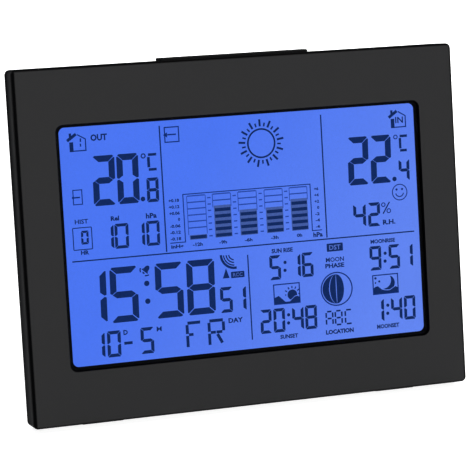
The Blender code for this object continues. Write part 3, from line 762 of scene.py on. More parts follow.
def rear_cover():
    inset = WALL + GAP
    flange = layered(span(HALF_W - inset), (inset, FACE_H - inset), [(FLANGE_Y, 0), (BEZEL_D, 0)], 1.0)
    cover = mesh_object("back_shell", [flange])
    plateau = span(PLATEAU[0]), PLATEAU[1:]
    tower = span(TOWER[0]), TOWER[1:]
    tower_half, tower_low, tower_high = TOWER
    join(cover, layered(*plateau, soft_ends(FLANGE_Y + 0.5, PLATEAU_Y, 0, 2.5), 6.0))
    join(cover, layered(*tower, soft_ends(FLANGE_Y + 1, TOWER_Y, 0, 2.0), 4.0), *hanging_bosses(0))
    cut(cover, layered(*inset_spans(*plateau, WALL), [(8, 0), (PLATEAU_Y - WALL, 0)], 4.0))
    hollow = layered(*inset_spans(*tower, WALL), [(9, 0), (TOWER_Y - WALL, 0)], 2.5)
    cut(cover, hollow, *hanging_bosses(WALL))
    bay_half, bay_low, bay_high = BAY
    added = (  # the battery bay, the door's bed, the leg's pocket and the pivot's housing
        (bay_half + 1.5, (9.9, TOWER_Y - 1), (bay_low - 1.5, bay_high + 1.5)),
        (tower_half - 1, (TOWER_Y - 4, TOWER_Y - 1), (POCKET_TOP + 0.2, tower_high - 1)),
        (POCKET_HALF + WALL, (POCKET_Y - WALL, TOWER_Y - 1), (tower_low + 0.5, POCKET_TOP + 1)),
        (POCKET_HALF + 5, (PIVOT_Y - 4.5, TOWER_Y - 0.8), (PIVOT_Z - 5, POCKET_TOP + 1)),
    )
    for half, y, z in added:
        join(cover, block(span(half), y, z))
    bay = block(span(bay_half), (BAY_FLOOR_Y, TOWER_Y + 1), (bay_low, bay_high))
    pocket = block(span(POCKET_HALF), (POCKET_Y, TOWER_Y + 1), (tower_low - 2, POCKET_TOP))
    cut(cover, bay, pocket)
    rail = (DOOR[1] - GAP, tower_high + 1)
    for half, top in ((DOOR[0] + GAP, TOWER_Y + 1), (DOOR[0] + 1.8, DOOR_Y[0] + 0.9)):
        cut(cover, block(span(half), (DOOR_Y[0] - GAP, top), rail))
    reach = LEG_HALF + TRUNNION_LEN + GAP
    hinge = [(x, TRUNNION_R + GAP) for x in span(reach)]
    cut(cover, turned("X", (PIVOT_Y, PIVOT_Z), hinge), *cover_holes())
    dress(cover, "case_plastic", "case", "case_black", "rear_cover")


def cover_marks():
    """Raised pad-printed signs beside the buttons, a border round each group, and a blank label."""
    marks = []
    top = (PLATEAU_Y - 0.02, PLATEAU_Y + 0.06)
    for side in (-1, 1):
        for number, z in enumerate(BUTTON_ZS):
            marks += sign(number if side < 0 else number + 3, side * (BUTTON_X + 12), z, top)
        frame_x = sorted((side * (BUTTON_X - 8), side * (BUTTON_X + 19)))
        marks.append(frame_line(frame_x, (14, 62), top, 0.35, 4.0))
    dress(mesh_object("button_signs", marks), "mark_print", "case", None)
    label = layered(span(LABEL_HALF), LABEL_Z, [(POCKET_Y + 0.02, 0), (POCKET_Y + 0.12, 0.02)], 1.5)
    dress(mesh_object("rating_label", [label]), "label_print", "case", None)
    raised = (POCKET_Y + 0.11, POCKET_Y + 0.14)
    bars = [block((-14, 14 - 5 * (k % 2)), raised, (30 + 4.6 * k, 30.9 + 4.6 * k)) for k in range(4)]
    dress(mesh_object("rating_label_bars", bars), "label_dark", "case", None)


def sign(kind, x, z, y):
    """One of six plain signs: plus, minus, up, down, a ring with a hand, and three arcs."""
    wide, thin = 2.0, 0.3
    if kind == 0:
        tall = block((x - thin, x + thin), y, (z - wide, z + wide))
        arms = (x - wide, x - thin), (x + thin, x + wide)
        return [tall, *[block(arm, y, (z - thin, z + thin)) for arm in arms]]
    if kind == 1:
        return [block((x - wide, x + wide), y, (z - thin, z + thin))]
    if kind in (2, 3):
        way = 1 if kind == 2 else -1
        return [slab([(x - wide, z - way * 1.4), (x + wide, z - way * 1.4), (x, z + way * 1.8)], y)]
    if kind == 4:
        return [
            frame_line((x - wide, x + wide), (z - wide, z + wide), y, 0.4, wide - 0.01),
            block((x - 0.2, x + 0.2), y, (z - 0.2, z + 1.3)),
            block((x + 0.2, x + 1.0), y, (z - 0.2, z + 0.2)),
        ]
    arcs = []
    for radius in (0.8, 1.7, 2.6):
        outer, inner = (arc_points((x, z - 1.2), radius + out, 45, 135, 12) for out in (0.2, -0.2))
        arcs.append(slab(outer + inner[::-1], y))
    return arcs


def battery_door():
    half, low, high = DOOR
    rims = soft_ends(*DOOR_Y, 0, 0.45)
    door = mesh_object("battery_lid", [layered(span(half), (low, high), rims, 0.6)])
    join(door, block(span(half + 1.5), (DOOR_Y[0], DOOR_Y[0] + 0.6), (low + 1, high - 1)))
    middle = (low + high) / 2
    grips = []
    for k in range(5):
        z = middle + 11.5 + 2.0 * k
        depths = [(DOOR_Y[1] - 0.55, 0), (DOOR_Y[1] + 1, 0)]
        grips.append(layered(span(10 - 0.9 * k), (z, z + 0.9), depths, 0.44))
    arrow = [(-3.2, middle - 3), (3.2, middle - 3), (0, middle + 2.5)]
    cut(door, *grips, slab(arrow, (DOOR_Y[1] - 0.4, DOOR_Y[1] + 1)))
    dress(door, "case_plastic", "battery_door", "case_black", "battery_door")


def screw_mesh(name, head_r, rise, shank_r, shank):
    """A pan-head screw along Y, with its head's underside at zero and a cross recess."""
    dome = [(rise * math.sin(t), head_r * (0.35 + 0.65 * math.cos(t))) for t in quarter(6)[1:]]
    thread = []
    for k in range(int(shank / THREAD_PITCH)):
        place = -shank + 0.5 + THREAD_PITCH * k
        thread += [(place, shank_r), (place + THREAD_PITCH / 2, shank_r + 0.12)]
    profile = [(-shank, shank_r * 0.4), *thread, (-0.2, shank_r), (0, shank_r), (0, head_r), *dome]
    screw = mesh_object(name, [turned("Y", (0, 0), profile, 28)], Matrix())
    slot = head_r * 0.5
    for u, v in ((slot, 0.22), (0.22, slot)):
        cut(screw, layered(span(u), span(v), [(rise - 0.75, 0.08), (rise + 0.3, 0)]))
    return screw


def screws():
    """Six case screws behind and four that hold the main board share two meshes."""
    places = [(x, BEZEL_D + GAP, z) for x, z in both_sides(SCREW_X, SCREW_ZS)]
    screw_copies(screw_mesh("case_screw_form", 2.55, 1.35, 1.15, 6.8), "cover_screw", places, "case_screw")
    places = [(x, BOARD_FACE_Y, z) for x, z in both_sides(BOARD_SCREW_X, BOARD_SCREW_ZS)]
    screw_copies(screw_mesh("board_screw_form", 2.05, 1.0, 0.95, 2.8), "board_screw", places, "pcb_screw")


def screw_copies(master, name, places, node):
    for number, place in enumerate(places, 1):
        screw = copy_at(master, f"{name}_{number}", place, math.radians(37 * number))
        dress(screw, "steel", "case", "steel", f"{node}_{number}")
    discard(master)


def rubber_piece(name, outline, x, softness, body, node, matrix=CASE):
    piece = mesh_object(name, [prism(outline, x)], matrix)
    soften(piece, softness)
    settle(piece)
    dress(piece, "rubber", body, "rubber_black", node)


def feet():
    low, high = FOOT_Y
    sole = [(y, y * math.tan(LEAN) - FOOT_DROP) for y in (high, low)]
    outline = [(low, 0.5), (high, 0.5), *sole]
    for side, x in (("left", -FOOT_X), ("right", FOOT_X)):
        across = (x - FOOT_HALF, x + FOOT_HALF)
        rubber_piece(f"rubber_foot_{side}", outline, across, 0.35, "case", f"foot_{side}")


# ---- folding leg ----


def stand():
    half = LEG_THICK / 2
    heel = (PIVOT_Y - POCKET_Y - GAP - half * math.cos(OPENED)) / math.sin(OPENED)
    end = -(LEG_REACH - PAD_H - GAP)
    rims = soft_ends(-half, half, 0.35, 0.6)
    leg = mesh_object("folding_leg", [layered(span(LEG_HALF), (end, heel), rims, 2.0)], LEG)
    reach = LEG_HALF + TRUNNION_LEN
    trunnion = [(-reach, TRUNNION_R - 0.2), (0.2 - reach, TRUNNION_R)]
    trunnion += [(-place, radius) for place, radius in trunnion[::-1]]
    join(leg, turned("X", (0, 0), trunnion, 32))
    hollow = layered(span(LEG_HALF - 4), (end + 12, -8), [(0.4, 0.3), (half + 1, 0)], 2.0)
    notch = layered(span(8), (end - 5, end + 6), [(-half - 1, 0), (half + 1, 0)], 3.0)
    cut(leg, hollow, notch)
    join(leg, *[block((x - 0.5, x + 0.5), (0.2, half - 0.25), (end + 11, -7)) for x in (-10.5, 0, 10.5)])
    join(leg, block(span(LEG_HALF - 3), (0.2, half - 0.35), (end + 28, end + 29)))
    dress(leg, "case_plastic", "stand", "case_black", "stand")
    top, slope = end - GAP, half * math.tan(UPRIGHT)
    outline = [(-half, top), (half, top), (half, -LEG_REACH - slope), (-half, -LEG_REACH + slope)]
    for side, x in (("left", -17.0), ("right", 17.0)):
        rubber_piece(f"leg_pad_{side}", outline, (x - 7, x + 7), 0.25, "stand", f"stand_pad_{side}", LEG)


# ---- controls ----


def snooze_bar():
    low, high = FACE_H - WALL + GAP, FACE_H + BAR_PROUD
    rims = soft_ends(low, high, 0, 0.6)
    bar = mesh_object("snooze_key", [layered(span(BAR_HALF), BAR_Y, rims, 1.2, "Z")])
    top = FACE_H - WALL - GAP
    join(bar, block(span(BAR_HALF - 1.5), (3.4, 8.9), (top - 2, FACE_H - WALL + 1)))
    join(bar, block(span(BAR_HALF + 2.4), (2.6, 8.9), (top - 2.2, top)))
    join(bar, *[turned("Z", (x, 6.0), [(FACE_H - 6.2, 1.5), (top - 1, 1.5)], 20) for x in (-20, 20)])
    dots = [turned("Z", (x, 7.0), [(high - 0.25, 0.5), (high + 0.3, 0.7)], 20) for x in (-2.4, 0, 2.4)]
    cut(bar, *dots)
    dress(bar, "bar_plastic", "snooze_bar", "button_black", "snooze_bar")


def rear_buttons():
    """Domed caps with a dished crown; one mesh serves all six."""
    stem = [(-3.6, 1.5), (-3.1, 1.5), (-3.1, BUTTON_R + 1), (-WALL - GAP, BUTTON_R + 1)]
    rim = [(0.3 + 0.6 * math.sin(t), BUTTON_R - 0.7 * (1 - math.cos(t))) for t in quarter(5)]
    crown = [(0.9 - 0.28 * (1 - (r / 2.9) ** 2), r) for r in (2.9, 2.2, 1.5, 0.8, 0.2)]
    profile = [*stem, (-WALL - GAP, BUTTON_R), *rim, *crown]
    master = mesh_object("button_form", [turned("Y", (0, 0), profile, 48)], Matrix())
    for number, (x, z) in enumerate(both_sides(BUTTON_X, BUTTON_ZS), 1):
        cap = copy_at(master, f"button_cap_{number}", (x, PLATEAU_Y, z))
        name = f"rear_button_{number}"
        dress(cap, "button_plastic", name, "button_black", name)
    discard(master)


# ---- power ----


def cell_rows():
    low, high = BAY[1:]
    return [low + (high - low) / 3 * (k + 0.5) for k in range(3)]


def batteries():
    """Each cell is a sleeve with rolled ends, a steel cap with its nub, and a flat steel base."""
    half = CELL_LEN / 2
    roll = [(0.5 * (1 - math.cos(t)), 0.5 * (1 - math.sin(t))) for t in quarter(4)]
    sleeve = [(-half, CELL_R - 0.9), *[(-half + a, CELL_R - b) for a, b in roll]]
    sleeve += [(half - 1.5 - a, CELL_R - b) for a, b in roll[::-1]]
    sleeve += [(half - 1.5, CELL_R - 1.2), (half - 1.7, CELL_R - 1.3), (half - 1.7, 3.2)]
    nub = [(half - 1.75, 3.1), (half - 1.45, 2.9), (half - 1.4, 2.7), (half - 0.2, 2.65), (half, 2.4)]
    base = [(-half + 0.02, CELL_R - 1.0), (-half - 0.02, CELL_R - 1.1)]
    for number, z in enumerate(cell_rows(), 1):
        turn = Matrix.Rotation(0 if number % 2 else math.pi, 4, "Z")
        place = CASE @ (Matrix.Translation((0, CELL_Y * MM, z * MM)) @ turn)
        pieces = (
            ("sleeve", sleeve, "cell_wrap", f"battery_{number}"),
            ("nub", nub, "nickel"),
            ("base", base, "nickel"),
        )
        for name, profile, finish, *replaced in pieces:
            piece = mesh_object(f"cell_{number}_{name}", [turned("X", (0, 0), profile, 48)], place)
            dress(piece, finish, "case", finish, *replaced)


def contact_spring(centre, wall, tip):
    """A conical coil from the bay's wall to a cell's flat end, as a tube along a helix."""
    wire, turns, count = 0.35, 4.5, 81
    way = 1 if tip > wall else -1
    rings = []
    for k in range(count + 1):
        share = k / count
        angle = 2 * math.pi * turns * share
        x = wall + way * wire + (tip - wall - 2 * way * wire) * share
        rings.append([
            (x + dx, centre[0] + out * math.cos(angle), centre[1] + out * math.sin(angle))
            for out, dx in circle((4.4 - 1.6 * share, 0), wire, 8)
        ])
    return ring_solid(rings)


def battery_contacts():
    rows = cell_rows()
    served_by = [(-1, rows[:1]), (-1, rows[1:]), (1, rows[:2]), (1, rows[2:])]
    for number, (side, served) in enumerate(served_by, 1):
        wall, root = side * (BAY[0] - GAP), side * (BAY[0] - GAP - 0.4)
        tip = side * (CELL_LEN / 2 + GAP)
        across = (CELL_Y - 6, CELL_Y + 5), (served[0] - 6, served[-1] + 6)
        sheet = layered(*across, [(x, 0) for x in sorted((wall, root))], 1.5, "X")
        contact = mesh_object(f"contact_plate_{number}", [sheet])
        springs = []
        for z in served:
            if (rows.index(z) % 2 == 0) == (side > 0):
                bump = [((wall + root) / 2, 2.6), (root, 2.4), ((root + tip) / 2, 2.2), (tip, 1.5)]
                join(contact, turned("X", (CELL_Y, z), bump, 28))
            else:
                springs.append(contact_spring((CELL_Y, z), root, tip))
        dress(contact, "nickel", "case", "nickel", f"battery_contact_{number}")
        if springs:
            coils = mesh_object(f"contact_spring_{number}", springs)
            dress(coils, "nickel", "case", "nickel")


# ---- the display's picture: X right and Y up from the window's centre ----


def plate(outline, y=INK_Y):
    """A flat outline as a thin solid at the picture's depth."""
    return slab([(a, MID_Z + b) for a, b in outline], y)


def boxes(*sides):
    """Filled rectangles, each from its (left, right, low, high)."""
    return [plate(rectangle((left, right), (low, high), 0)) for left, right, low, high in sides]


def box_line(x, y, width, corner=0.0):
    return frame_line(x, (MID_Z + y[0], MID_Z + y[1]), INK_Y, width, corner, 4)


def soft_box(x, y, depth=INK_Y):
    return plate(rectangle(x, y, 0.3, 3), depth)


def discs(radius, *centres, sides=24):
    return [plate(circle(centre, radius, sides)) for centre in centres]


def hoop(centre, radius, width, sides=48):
    middle = (centre[0], MID_Z + centre[1])
    outer, inner = (circle(middle, radius + out, sides) for out in (width / 2, -width / 2))
    return band(outer, inner, INK_Y)


def stroke(points, width):
    """A line of one width through the points, mitred at its corners."""
    path = [Vector(point) for point in points]
    legs = [(b - a).normalized() for a, b in zip(path, path[1:])]
    left, right = [], []
    for k, point in enumerate(path):
        normals = [Vector((-leg.y, leg.x)) for leg in legs[max(k - 1, 0) : k + 1]]
        normal = sum(normals, Vector((0, 0))).normalized()
        reach = width / 2 / max(0.4, normal.dot(normals[0]))
        left.append(tuple(point + normal * reach))
        right.append(tuple(point - normal * reach))
    return plate(left + right[::-1])


def strokes(width, *paths):
    return [stroke(path, width) for path in paths]


# The segments that each figure lights, named clockwise from the top one, with g in the middle
SEVEN = {
    "0": "abcdef", "1": "bc", "2": "abged", "3": "abgcd", "4": "fgbc",
    "5": "afgcd", "6": "afgcde", "7": "abc", "8": "abcdefg", "9": "abcdfg",
}
SLANT = 0.018


def seven(figure, x, y, width, gap):
    """The lit segments of one seven-segment figure that fills the box x by y."""
    (left, right), (low, high) = x, y
    mid = (low + high) / 2
    clip = width * 0.33  # how far the outer corners are cut back
    tip = width * 0.30  # where a side's middle point lies, from its outer edge
    g = gap / 2
    near, half = left + width, width / 2

    def flip(points, across=False, over=False):
        """The points mirrored left to right, top to bottom, or both."""
        return [(left + right - px if across else px, low + high - py if over else py) for px, py in points]

    corner = [(near + g, high - width), (left + g + clip * 0.4, high - clip * 0.6), (left + clip + g, high)]
    top = corner + flip(corner[::-1], across=True)
    middle = [(near + g / 2, mid - half), (left + tip + g, mid), (near + g / 2, mid + half)]
    side = [
        (left, high - clip - 2 * g),
        (left + clip * 0.6, high - clip - g),
        (near, high - width - 2 * g),
        (near, mid + half + 1.5 * g),
        (left + tip, mid + 1.5 * g),
        (left, mid + tip * 0.5 + 1.5 * g),
    ]
    shapes = {
        "a": top,
        "b": flip(side, across=True),
        "c": flip(side, across=True, over=True),
        "d": flip(top, over=True),
        "e": flip(side, over=True),
        "f": side,
        "g": middle + flip(middle[::-1], across=True),
    }
    return [plate([(px + SLANT * (py - mid), py) for px, py in shapes[name]]) for name in SEVEN[figure]]


def figures(text, spans, y, width, gap=0.12):
    """Seven-segment figures; a 1's strokes end at its span's right side."""
    shapes = []
    for figure, (left, right) in zip(text, spans):
        if figure == "1":
            left = right - 4 * width
        shapes += seven(figure, (left, right), y, width, gap)
    return shapes


def words(text, left, right, low, high, bold=0.04, depth=INK_Y):
    """Small capitals stretched to fill a box, as thin solids."""
    curve = bpy.data.curves.new("words", "FONT")
    curve.body = text
    curve.resolution_u = 2
    curve.extrude = 0.5
    curve.offset = bold
    obj = linked("words", curve)
    mesh = evaluated_mesh(obj)
    discard(obj)
    xs, ys = ([vertex.co[k] for vertex in mesh.vertices] for k in (0, 1))
    across = (right - left) / (max(xs) - min(xs))
    tall = (high - low) / (max(ys) - min(ys))
    points = [
        (
            left + (vertex.co.x - min(xs)) * across,
            depth[0] if vertex.co.z > 0 else depth[1],
            MID_Z + low + (vertex.co.y - min(ys)) * tall,
        )
        for vertex in mesh.vertices
    ]
    return points, [tuple(polygon.vertices) for polygon in mesh.polygons]


def lettering(*rows):
    return [words(*row) for row in rows]


def picture(name, finish, shapes):
    dress(mesh_object(name, shapes), finish, "case", "lcd_blue")


def house(left, right, low, high):
    """A house: a bold left roof, chimney and wall, and a thin outline on the right."""
    eaves = low + (high - low) * 0.62
    ridge = left + (right - left) * 0.57
    bold = strokes(1.25, [(left, eaves + 0.1), (ridge - 0.7, high)])
    bold += boxes(
        (left + 0.9, left + 1.9, eaves + 1.6, high + 0.4),
        (left + 0.9, left + 2.55, low, eaves - 0.5),
    )
    wall, ground = right - 0.3, low + 0.3
    outline = [(ridge - 0.2, high - 0.3), (wall, eaves + 0.5), (wall, ground), (left + 2.5, ground)]
    return bold, stroke(outline, 0.5)


def outdoor():
    bold, thin = house(-75.0, -66.9, 39.2, 46.5)
    dark = figures("20", [(-65.1, -55.5), (-54.7, -45.3)], (16.1, 36.9), 2.65, 0.18)
    dark += figures("8", [(-42.2, -37.0)], (15.9, 26.1), 1.35)
    dark += [*discs(1.0, (-44.1, 17.5)), *bold, hoop((-42.9, 35.4), 0.85, 0.5)]
    dark += boxes((-40.8, -37.2, 35.2, 36.3), (-41.3, -40.1, 30.5, 34.8), (-40.8, -37.4, 29.0, 30.1))
    dark += lettering(("OUT", -65.0, -57.9, 43.1, 45.9))
    picture("picture_outdoor", "ink_dark", dark)
    pressure = lettering(
        ("HIST", -73.9, -68.2, 9.3, 11.2, 0.025),
        ("HR", -72.1, -68.6, -3.6, -1.8),
        ("Rel", -58.5, -54.9, 9.4, 11.4),
        ("hPa", -43.3, -38.6, 9.2, 11.4),
    )
    pressure.append(box_line((-75.2, -66.8), (-1.6, 7.9), 0.4, 0.5))
    pressure += figures("0", [(-71.6, -68.4)], (0.7, 6.4), 0.95, 0.1)
    pressure += figures("10", [(-59.1, -57.6), (-57.2, -51.2)], (-2.3, 8.1), 1.25)
    pressure += figures("10", [(-45.6, -44.2), (-43.5, -37.7)], (-2.3, 8.1), 1.25)
    picture("picture_pressure", "ink_dark", pressure)
    fine = [thin, box_line((-74.1, -69.9), (17.2, 23.6), 0.42)]
    fine += [*boxes((-73.6, -71.0, 20.0, 20.6)), *discs(0.55, (-73.9, 20.3))]
    fine += strokes(0.6, [(-69.4, 41.2), (-69.4, 42.4)], [(-69.3, 43.1), (-69.3, 44.6)])
    picture("picture_outdoor_outline", "ink_fine", fine)


def sun(centre, radius):
    """A ring with thirteen long rays and a short one after each."""
    shapes = [hoop(centre, radius, 0.74, 64)]
    for k in range(26):
        angle = math.radians(92 + 360 * k / 26)
        way = Vector((math.cos(angle), math.sin(angle)))
        end, width = ((4.15, 0.9), (2.75, 0.7))[k % 2]
        shapes.append(stroke([Vector(centre) + way * (radius + out) for out in (1.15, end)], width))
    return shapes


COLUMNS = [(-25.2, -16.8), (-13.9, -5.6), (-2.6, 5.9), (9.2, 17.6), (20.5, 28.8)]
LEVELS = (1, 5, 4, 4, 5)
ROWS, ROW_PITCH, ROW_LOW = 7, 2.69, -0.35


def row_y(row):
    return ROW_LOW + ROW_PITCH * row


def forecast():
    picture("picture_sun", "ink_dark", sun((9.3, 37.0), 6.0))
    filled, backing, empty, dashes = [], [], [], []
    for (left, right), level in zip(COLUMNS, LEVELS):
        middles = [row_y(row) for row in range(level)]
        filled += boxes(*[(left + 0.85, right - 0.45, y - 0.7, y + 0.7) for y in middles])
        top, step = row_y(ROWS - 0.5), row_y(level - 0.5)
        middles = [row_y(row + 0.5) for row in range(level, ROWS)]
        empty += boxes(*[(left + 0.3, right - 0.3, y - 0.26, y + 0.26) for y in middles])
        empty += boxes(*[(x - 0.15, x + 0.15, step - 0.2, top) for x in (left + 0.12, right - 0.12)])
        shade_top = step + (0.5 if level > 1 else -0.4)
        backing.append(soft_box((left + 0.5, right - 0.2), (ROW_LOW - 1.0, shade_top), SHADE_Y))
    middles = [row_y(row) for row in range(ROWS)]
    for x in (-15.35, -4.1, 7.55, 19.05):
        dashes += boxes(*[(x - 0.75, x + 0.75, y - 0.27, y + 0.27) for y in middles])
    picture("picture_bars", "ink_dark", filled)
    picture("picture_bars_shade", "ink_shade", backing)
    picture("picture_chart", "ink_pale", [*empty, *dashes])
    frame_path = [(-33.4, -2.0), (-26.7, -2.0), (-26.7, 18.0), (30.2, 18.0), (30.2, -2.0), (34.6, -2.0)]
    outline = [stroke(frame_path, 0.42), box_line((-33.3, -26.7), (40.1, 46.8), 0.5)]
    outline += [*boxes((-31.9, -28.1, 43.15, 43.75)), plate([(-33.8, 43.4), (-32.0, 42.3), (-32.0, 44.5)])]
    picture("picture_chart_frame", "ink_fine", outline)
    labels = lettering(("inHg", -33.1, -27.7, -4.8, -2.8), ("hPa", 30.5, 34.8, -4.9, -2.8))
    scale_left = ("-0.18", "-0.12", "-0.06", "0", "+0.06", "+0.12", "+0.18")
    scale_right = ("-6", "-4", "-2", "0", "+2", "+4", "+6")
    for row, (left, right) in enumerate(zip(scale_left, scale_right)):
        y = row_y(row)
        labels.append(words(left, -28.5 - 0.92 * len(left), -28.5, y - 0.7, y + 0.7))
        labels.append(words(right, 33.9 - 1.0 * len(right), 33.9, y - 0.65, y + 0.65))
    for (left, right), hour in zip(COLUMNS, ("-12h", "-9h", "-6h", "-3h", "0h")):
        mid, half = (left + right) / 2 - 0.4, 0.5 * len(hour) + 0.2
        labels.append(words(hour, mid - half, mid + half, -4.2, -2.7))
    picture("picture_scales", "ink_dark", labels)


def indoor():
    bold, thin = house(67.9, 75.9, 39.2, 46.5)
    dark = figures("22", [(48.1, 57.6), (58.6, 68.1)], (15.9, 36.6), 2.7, 0.18)
    dark += figures("4", [(71.4, 76.4)], (15.9, 25.6), 1.35)
    dark += figures("42", [(49.3, 55.1), (56.1, 61.7)], (-2.5, 7.8), 1.4)
    dark += [*discs(1.0, (69.2, 17.2)), *bold]
    dark += boxes((72.6, 76.0, 35.0, 36.1), (72.1, 73.2, 30.2, 34.7), (72.5, 75.6, 28.8, 29.9))
    dark += lettering(("IN", 70.9, 74.5, 41.2, 43.9, 0.02))
    picture("picture_indoor", "ink_dark", dark)
    humidity = strokes(0.55, [(63.1, 2.6), (66.3, 7.5)]) + lettering(("R.H.", 62.8, 68.6, -2.2, 0.0))
    picture("picture_humidity", "ink_dark", humidity)
    smile = arc_points((71.25, 11.3), 1.85, 192, 348)
    fine = [thin, *discs(0.5, (69.9, 12.6), (72.5, 12.6)), stroke(smile, 0.45)]
    rings = (((71.3, 11.35), 3.4), ((70.6, 35.3), 0.8), ((63.4, 6.5), 0.8), ((65.8, 3.7), 0.85))
    fine += [hoop(centre, radius, 0.42) for centre, radius in rings]
    picture("picture_indoor_outline", "ink_fine", fine)


def bell(centre, size):
    """An alarm bell that swings: tilted, with its clapper showing and a stroke of sound on each side."""
    turn = Matrix.Rotation(math.radians(-42), 2)

    def place(points):
        return [Vector(centre) + size * (turn @ Vector(point)) for point in points]

    half = [(0.92, -0.62), (0.62, -0.15), (0.52, 0.55), (0.2, 0.95)]
    body = place(half + [(-u, v) for u, v in half[::-1]])
    clapper = place([(-0.34, -0.8), (0.34, -0.8), (0.22, -1.15), (-0.22, -1.15)])
    sounds = [place(arc_points((0, -0.1), 1.32, *ends, 5)) for ends in ((200, 242), (-62, -20))]
    return [plate(body), plate(clapper), *strokes(0.55, *sounds)]


def clock():
    big = [(-65.1, -62.3), (-60.7, -48.6), (-41.1, -28.9), (-27.3, -14.9)]
    dark = figures("1558", big, (-33.2, -10.0), 2.75, 0.3) + discs(1.15, (-44.7, -17.9), (-44.7, -25.4))
    dark += figures("10", [(-65.9, -64.3), (-63.3, -57.4)], (-47.4, -36.4), 1.4)
    dark += figures("5", [(-48.8, -43.0)], (-47.4, -36.3), 1.4)
    dark += figures("51", [(-12.9, -7.4), (-2.8, -1.3)], (-33.5, -22.6), 1.4)
    dark += boxes((-56.0, -52.4, -42.7, -41.5))
    picture("picture_clock", "ink_dark", dark)
    # The weekday's two letters share all but the right side
    mid, low, high, wide = -41.3, -46.5, -35.7, 1.3
    letters = []
    for left, top_end, mid_end in ((-28.9, -22.4, -25.6), (-19.2, -12.3, -15.7)):
        letters += boxes(
            (left + 0.9, top_end, high - wide, high),
            (left, left + wide, mid + 0.4, high - wide - 0.1),
            (left, left + wide, low, mid - 0.4),
            (left + wide, mid_end, mid - 0.6, mid + 0.6),
        )
    letters += boxes((-12.8, -11.5, mid + 0.4, high - wide - 0.1), (-15.4, -12.8, mid - 0.6, mid + 0.6))
    letters += strokes(wide, [(-15.0, mid - 0.9), (-13.0, low + 0.4)])
    picture("picture_weekday", "ink_dark", letters)
    signals = [*bell((-44.6, -12.0), 1.9), plate([(-9.6, -14.7), (-8.2, -18.9), (-11.2, -18.9)])]
    arcs = ((5.9, 180, 278, 1.05), (4.75, 183, 268, 0.55), (3.6, 184, 266, 0.55), (2.45, 186, 262, 0.55))
    signals += [stroke(arc_points((-5.6, -8.9), *arc), width) for *arc, width in arcs]
    signals += lettering(
        ("D", -56.1, -54.2, -38.6, -36.5),
        ("M", -41.6, -39.4, -38.5, -36.5, 0.01),
        ("DAY", -9.8, -3.3, -38.1, -36.0),
    )
    picture("picture_signals", "ink_dark", signals)
    picture("picture_label", "ink_dark", [soft_box((-7.5, -1.5), (-19.1, -16.4))])
    label = words("RCC", -6.6, -2.4, -18.5, -17.0, 0.0, TOP_INK_Y)
    picture("picture_label_text", "ink_light", [label])


# Each sky's hills from the left: shares of the width, and heights
HILL_GAP = 0.32
SUN_HILLS = (
    (0.02, 0.19, 0.3, 0.435, 0.6, 0.7, 0.79, 0.9, 0.98),
    (3.0, 3.8, 2.6, 1.0, 1.0, 2.0, 2.9, 3.1, 2.5),
)
MOON_HILLS = (
    (0.02, 0.1, 0.2, 0.35, 0.5, 0.65, 0.8, 0.88, 0.98),
    (2.7, 3.5, 3.7, 2.1, 1.6, 1.5, 2.5, 3.0, 2.4),
)


def dedupe(points):
    """The outline without corners that all but meet."""
    least = 0.02
    kept = [points[0]]
    for point in points[1:]:
        if math.dist(point, kept[-1]) > least:
            kept.append(point)
    if math.dist(kept[0], kept[-1]) <= least:
        kept.pop()
    return kept


def sky_box(x, y, profile, rising):
    """A frame with hills in it, and what rises behind them: an outline, cut off just over the hills."""
    (left, right), low = x, y[0]
    hills = [(left + (right - left) * share, low + rise) for share, rise in zip(*profile)]

    def above(point):
        for (ax, ay), (bx, by) in zip(hills, hills[1:]):
            if ax <= point[0] <= bx:
                return (point[0], max(point[1], ay + (by - ay) * (point[0] - ax) / (bx - ax) + HILL_GAP))
        return tuple(point)

    ground = [(right - 0.3, low + 0.4), (left + 0.3, low + 0.4)]
    dark = [plate([*hills, *ground]), plate(dedupe([above(point) for point in rising]))]
    return dark, box_line(x, y, 0.5)


def sunny_sky(x, y):
    """The sun over the hills, with seven rays."""
    centre = Vector((x[0] + 8.5, y[0] + 3.8))
    dark, line = sky_box(x, y, SUN_HILLS, arc_points(centre, 2.2, -80, 278, 36))
    for angle in (4, 34, 62, 90, 119, 148, 178):
        way = Vector((math.cos(math.radians(angle)), math.sin(math.radians(angle))))
        reach = 3.75 if 20 < angle < 160 else 3.3
        dark.append(stroke([centre + way * 2.75, centre + way * reach], 0.5))
    return dark, line


def night_sky(x, y):
    """A crescent over the hills, with three stars."""
    left, (low, high) = x[0], y
    outer = arc_points((left + 6.9, low + 4.7), 3.5, -112, 60, 22)
    inner = arc_points((left + 5.1, low + 6.0), 3.6, 27, -92, 22)
    dark, line = sky_box(x, y, MOON_HILLS, outer + inner)
    for dx, dy, radius in ((1.5, 1.5, 0.55), (3.2, 3.0, 0.5), (1.4, 3.5, 0.38)):
        dark += discs(radius, (left + dx, high - dy), sides=8)
    return dark, line


def moon_phase(centre):
    """A dark gibbous disc, parted by two light meridians."""
    shapes = []
    for low, high in ((-6.45, -3.45), (-3.05, -0.3), (0.08, 3.4)):
        left = [(-low * u, v) for u, v in arc_points((0, 0), 1, 90, 270, 20)]
        right = [(high * u, v) for u, v in arc_points((0, 0), 1, -90, 90, 20)]
        outline = [(centre[0] + u, centre[1] + 6.35 * v) for u, v in left + right]
        shapes.append(plate(dedupe(outline)))
    return shapes


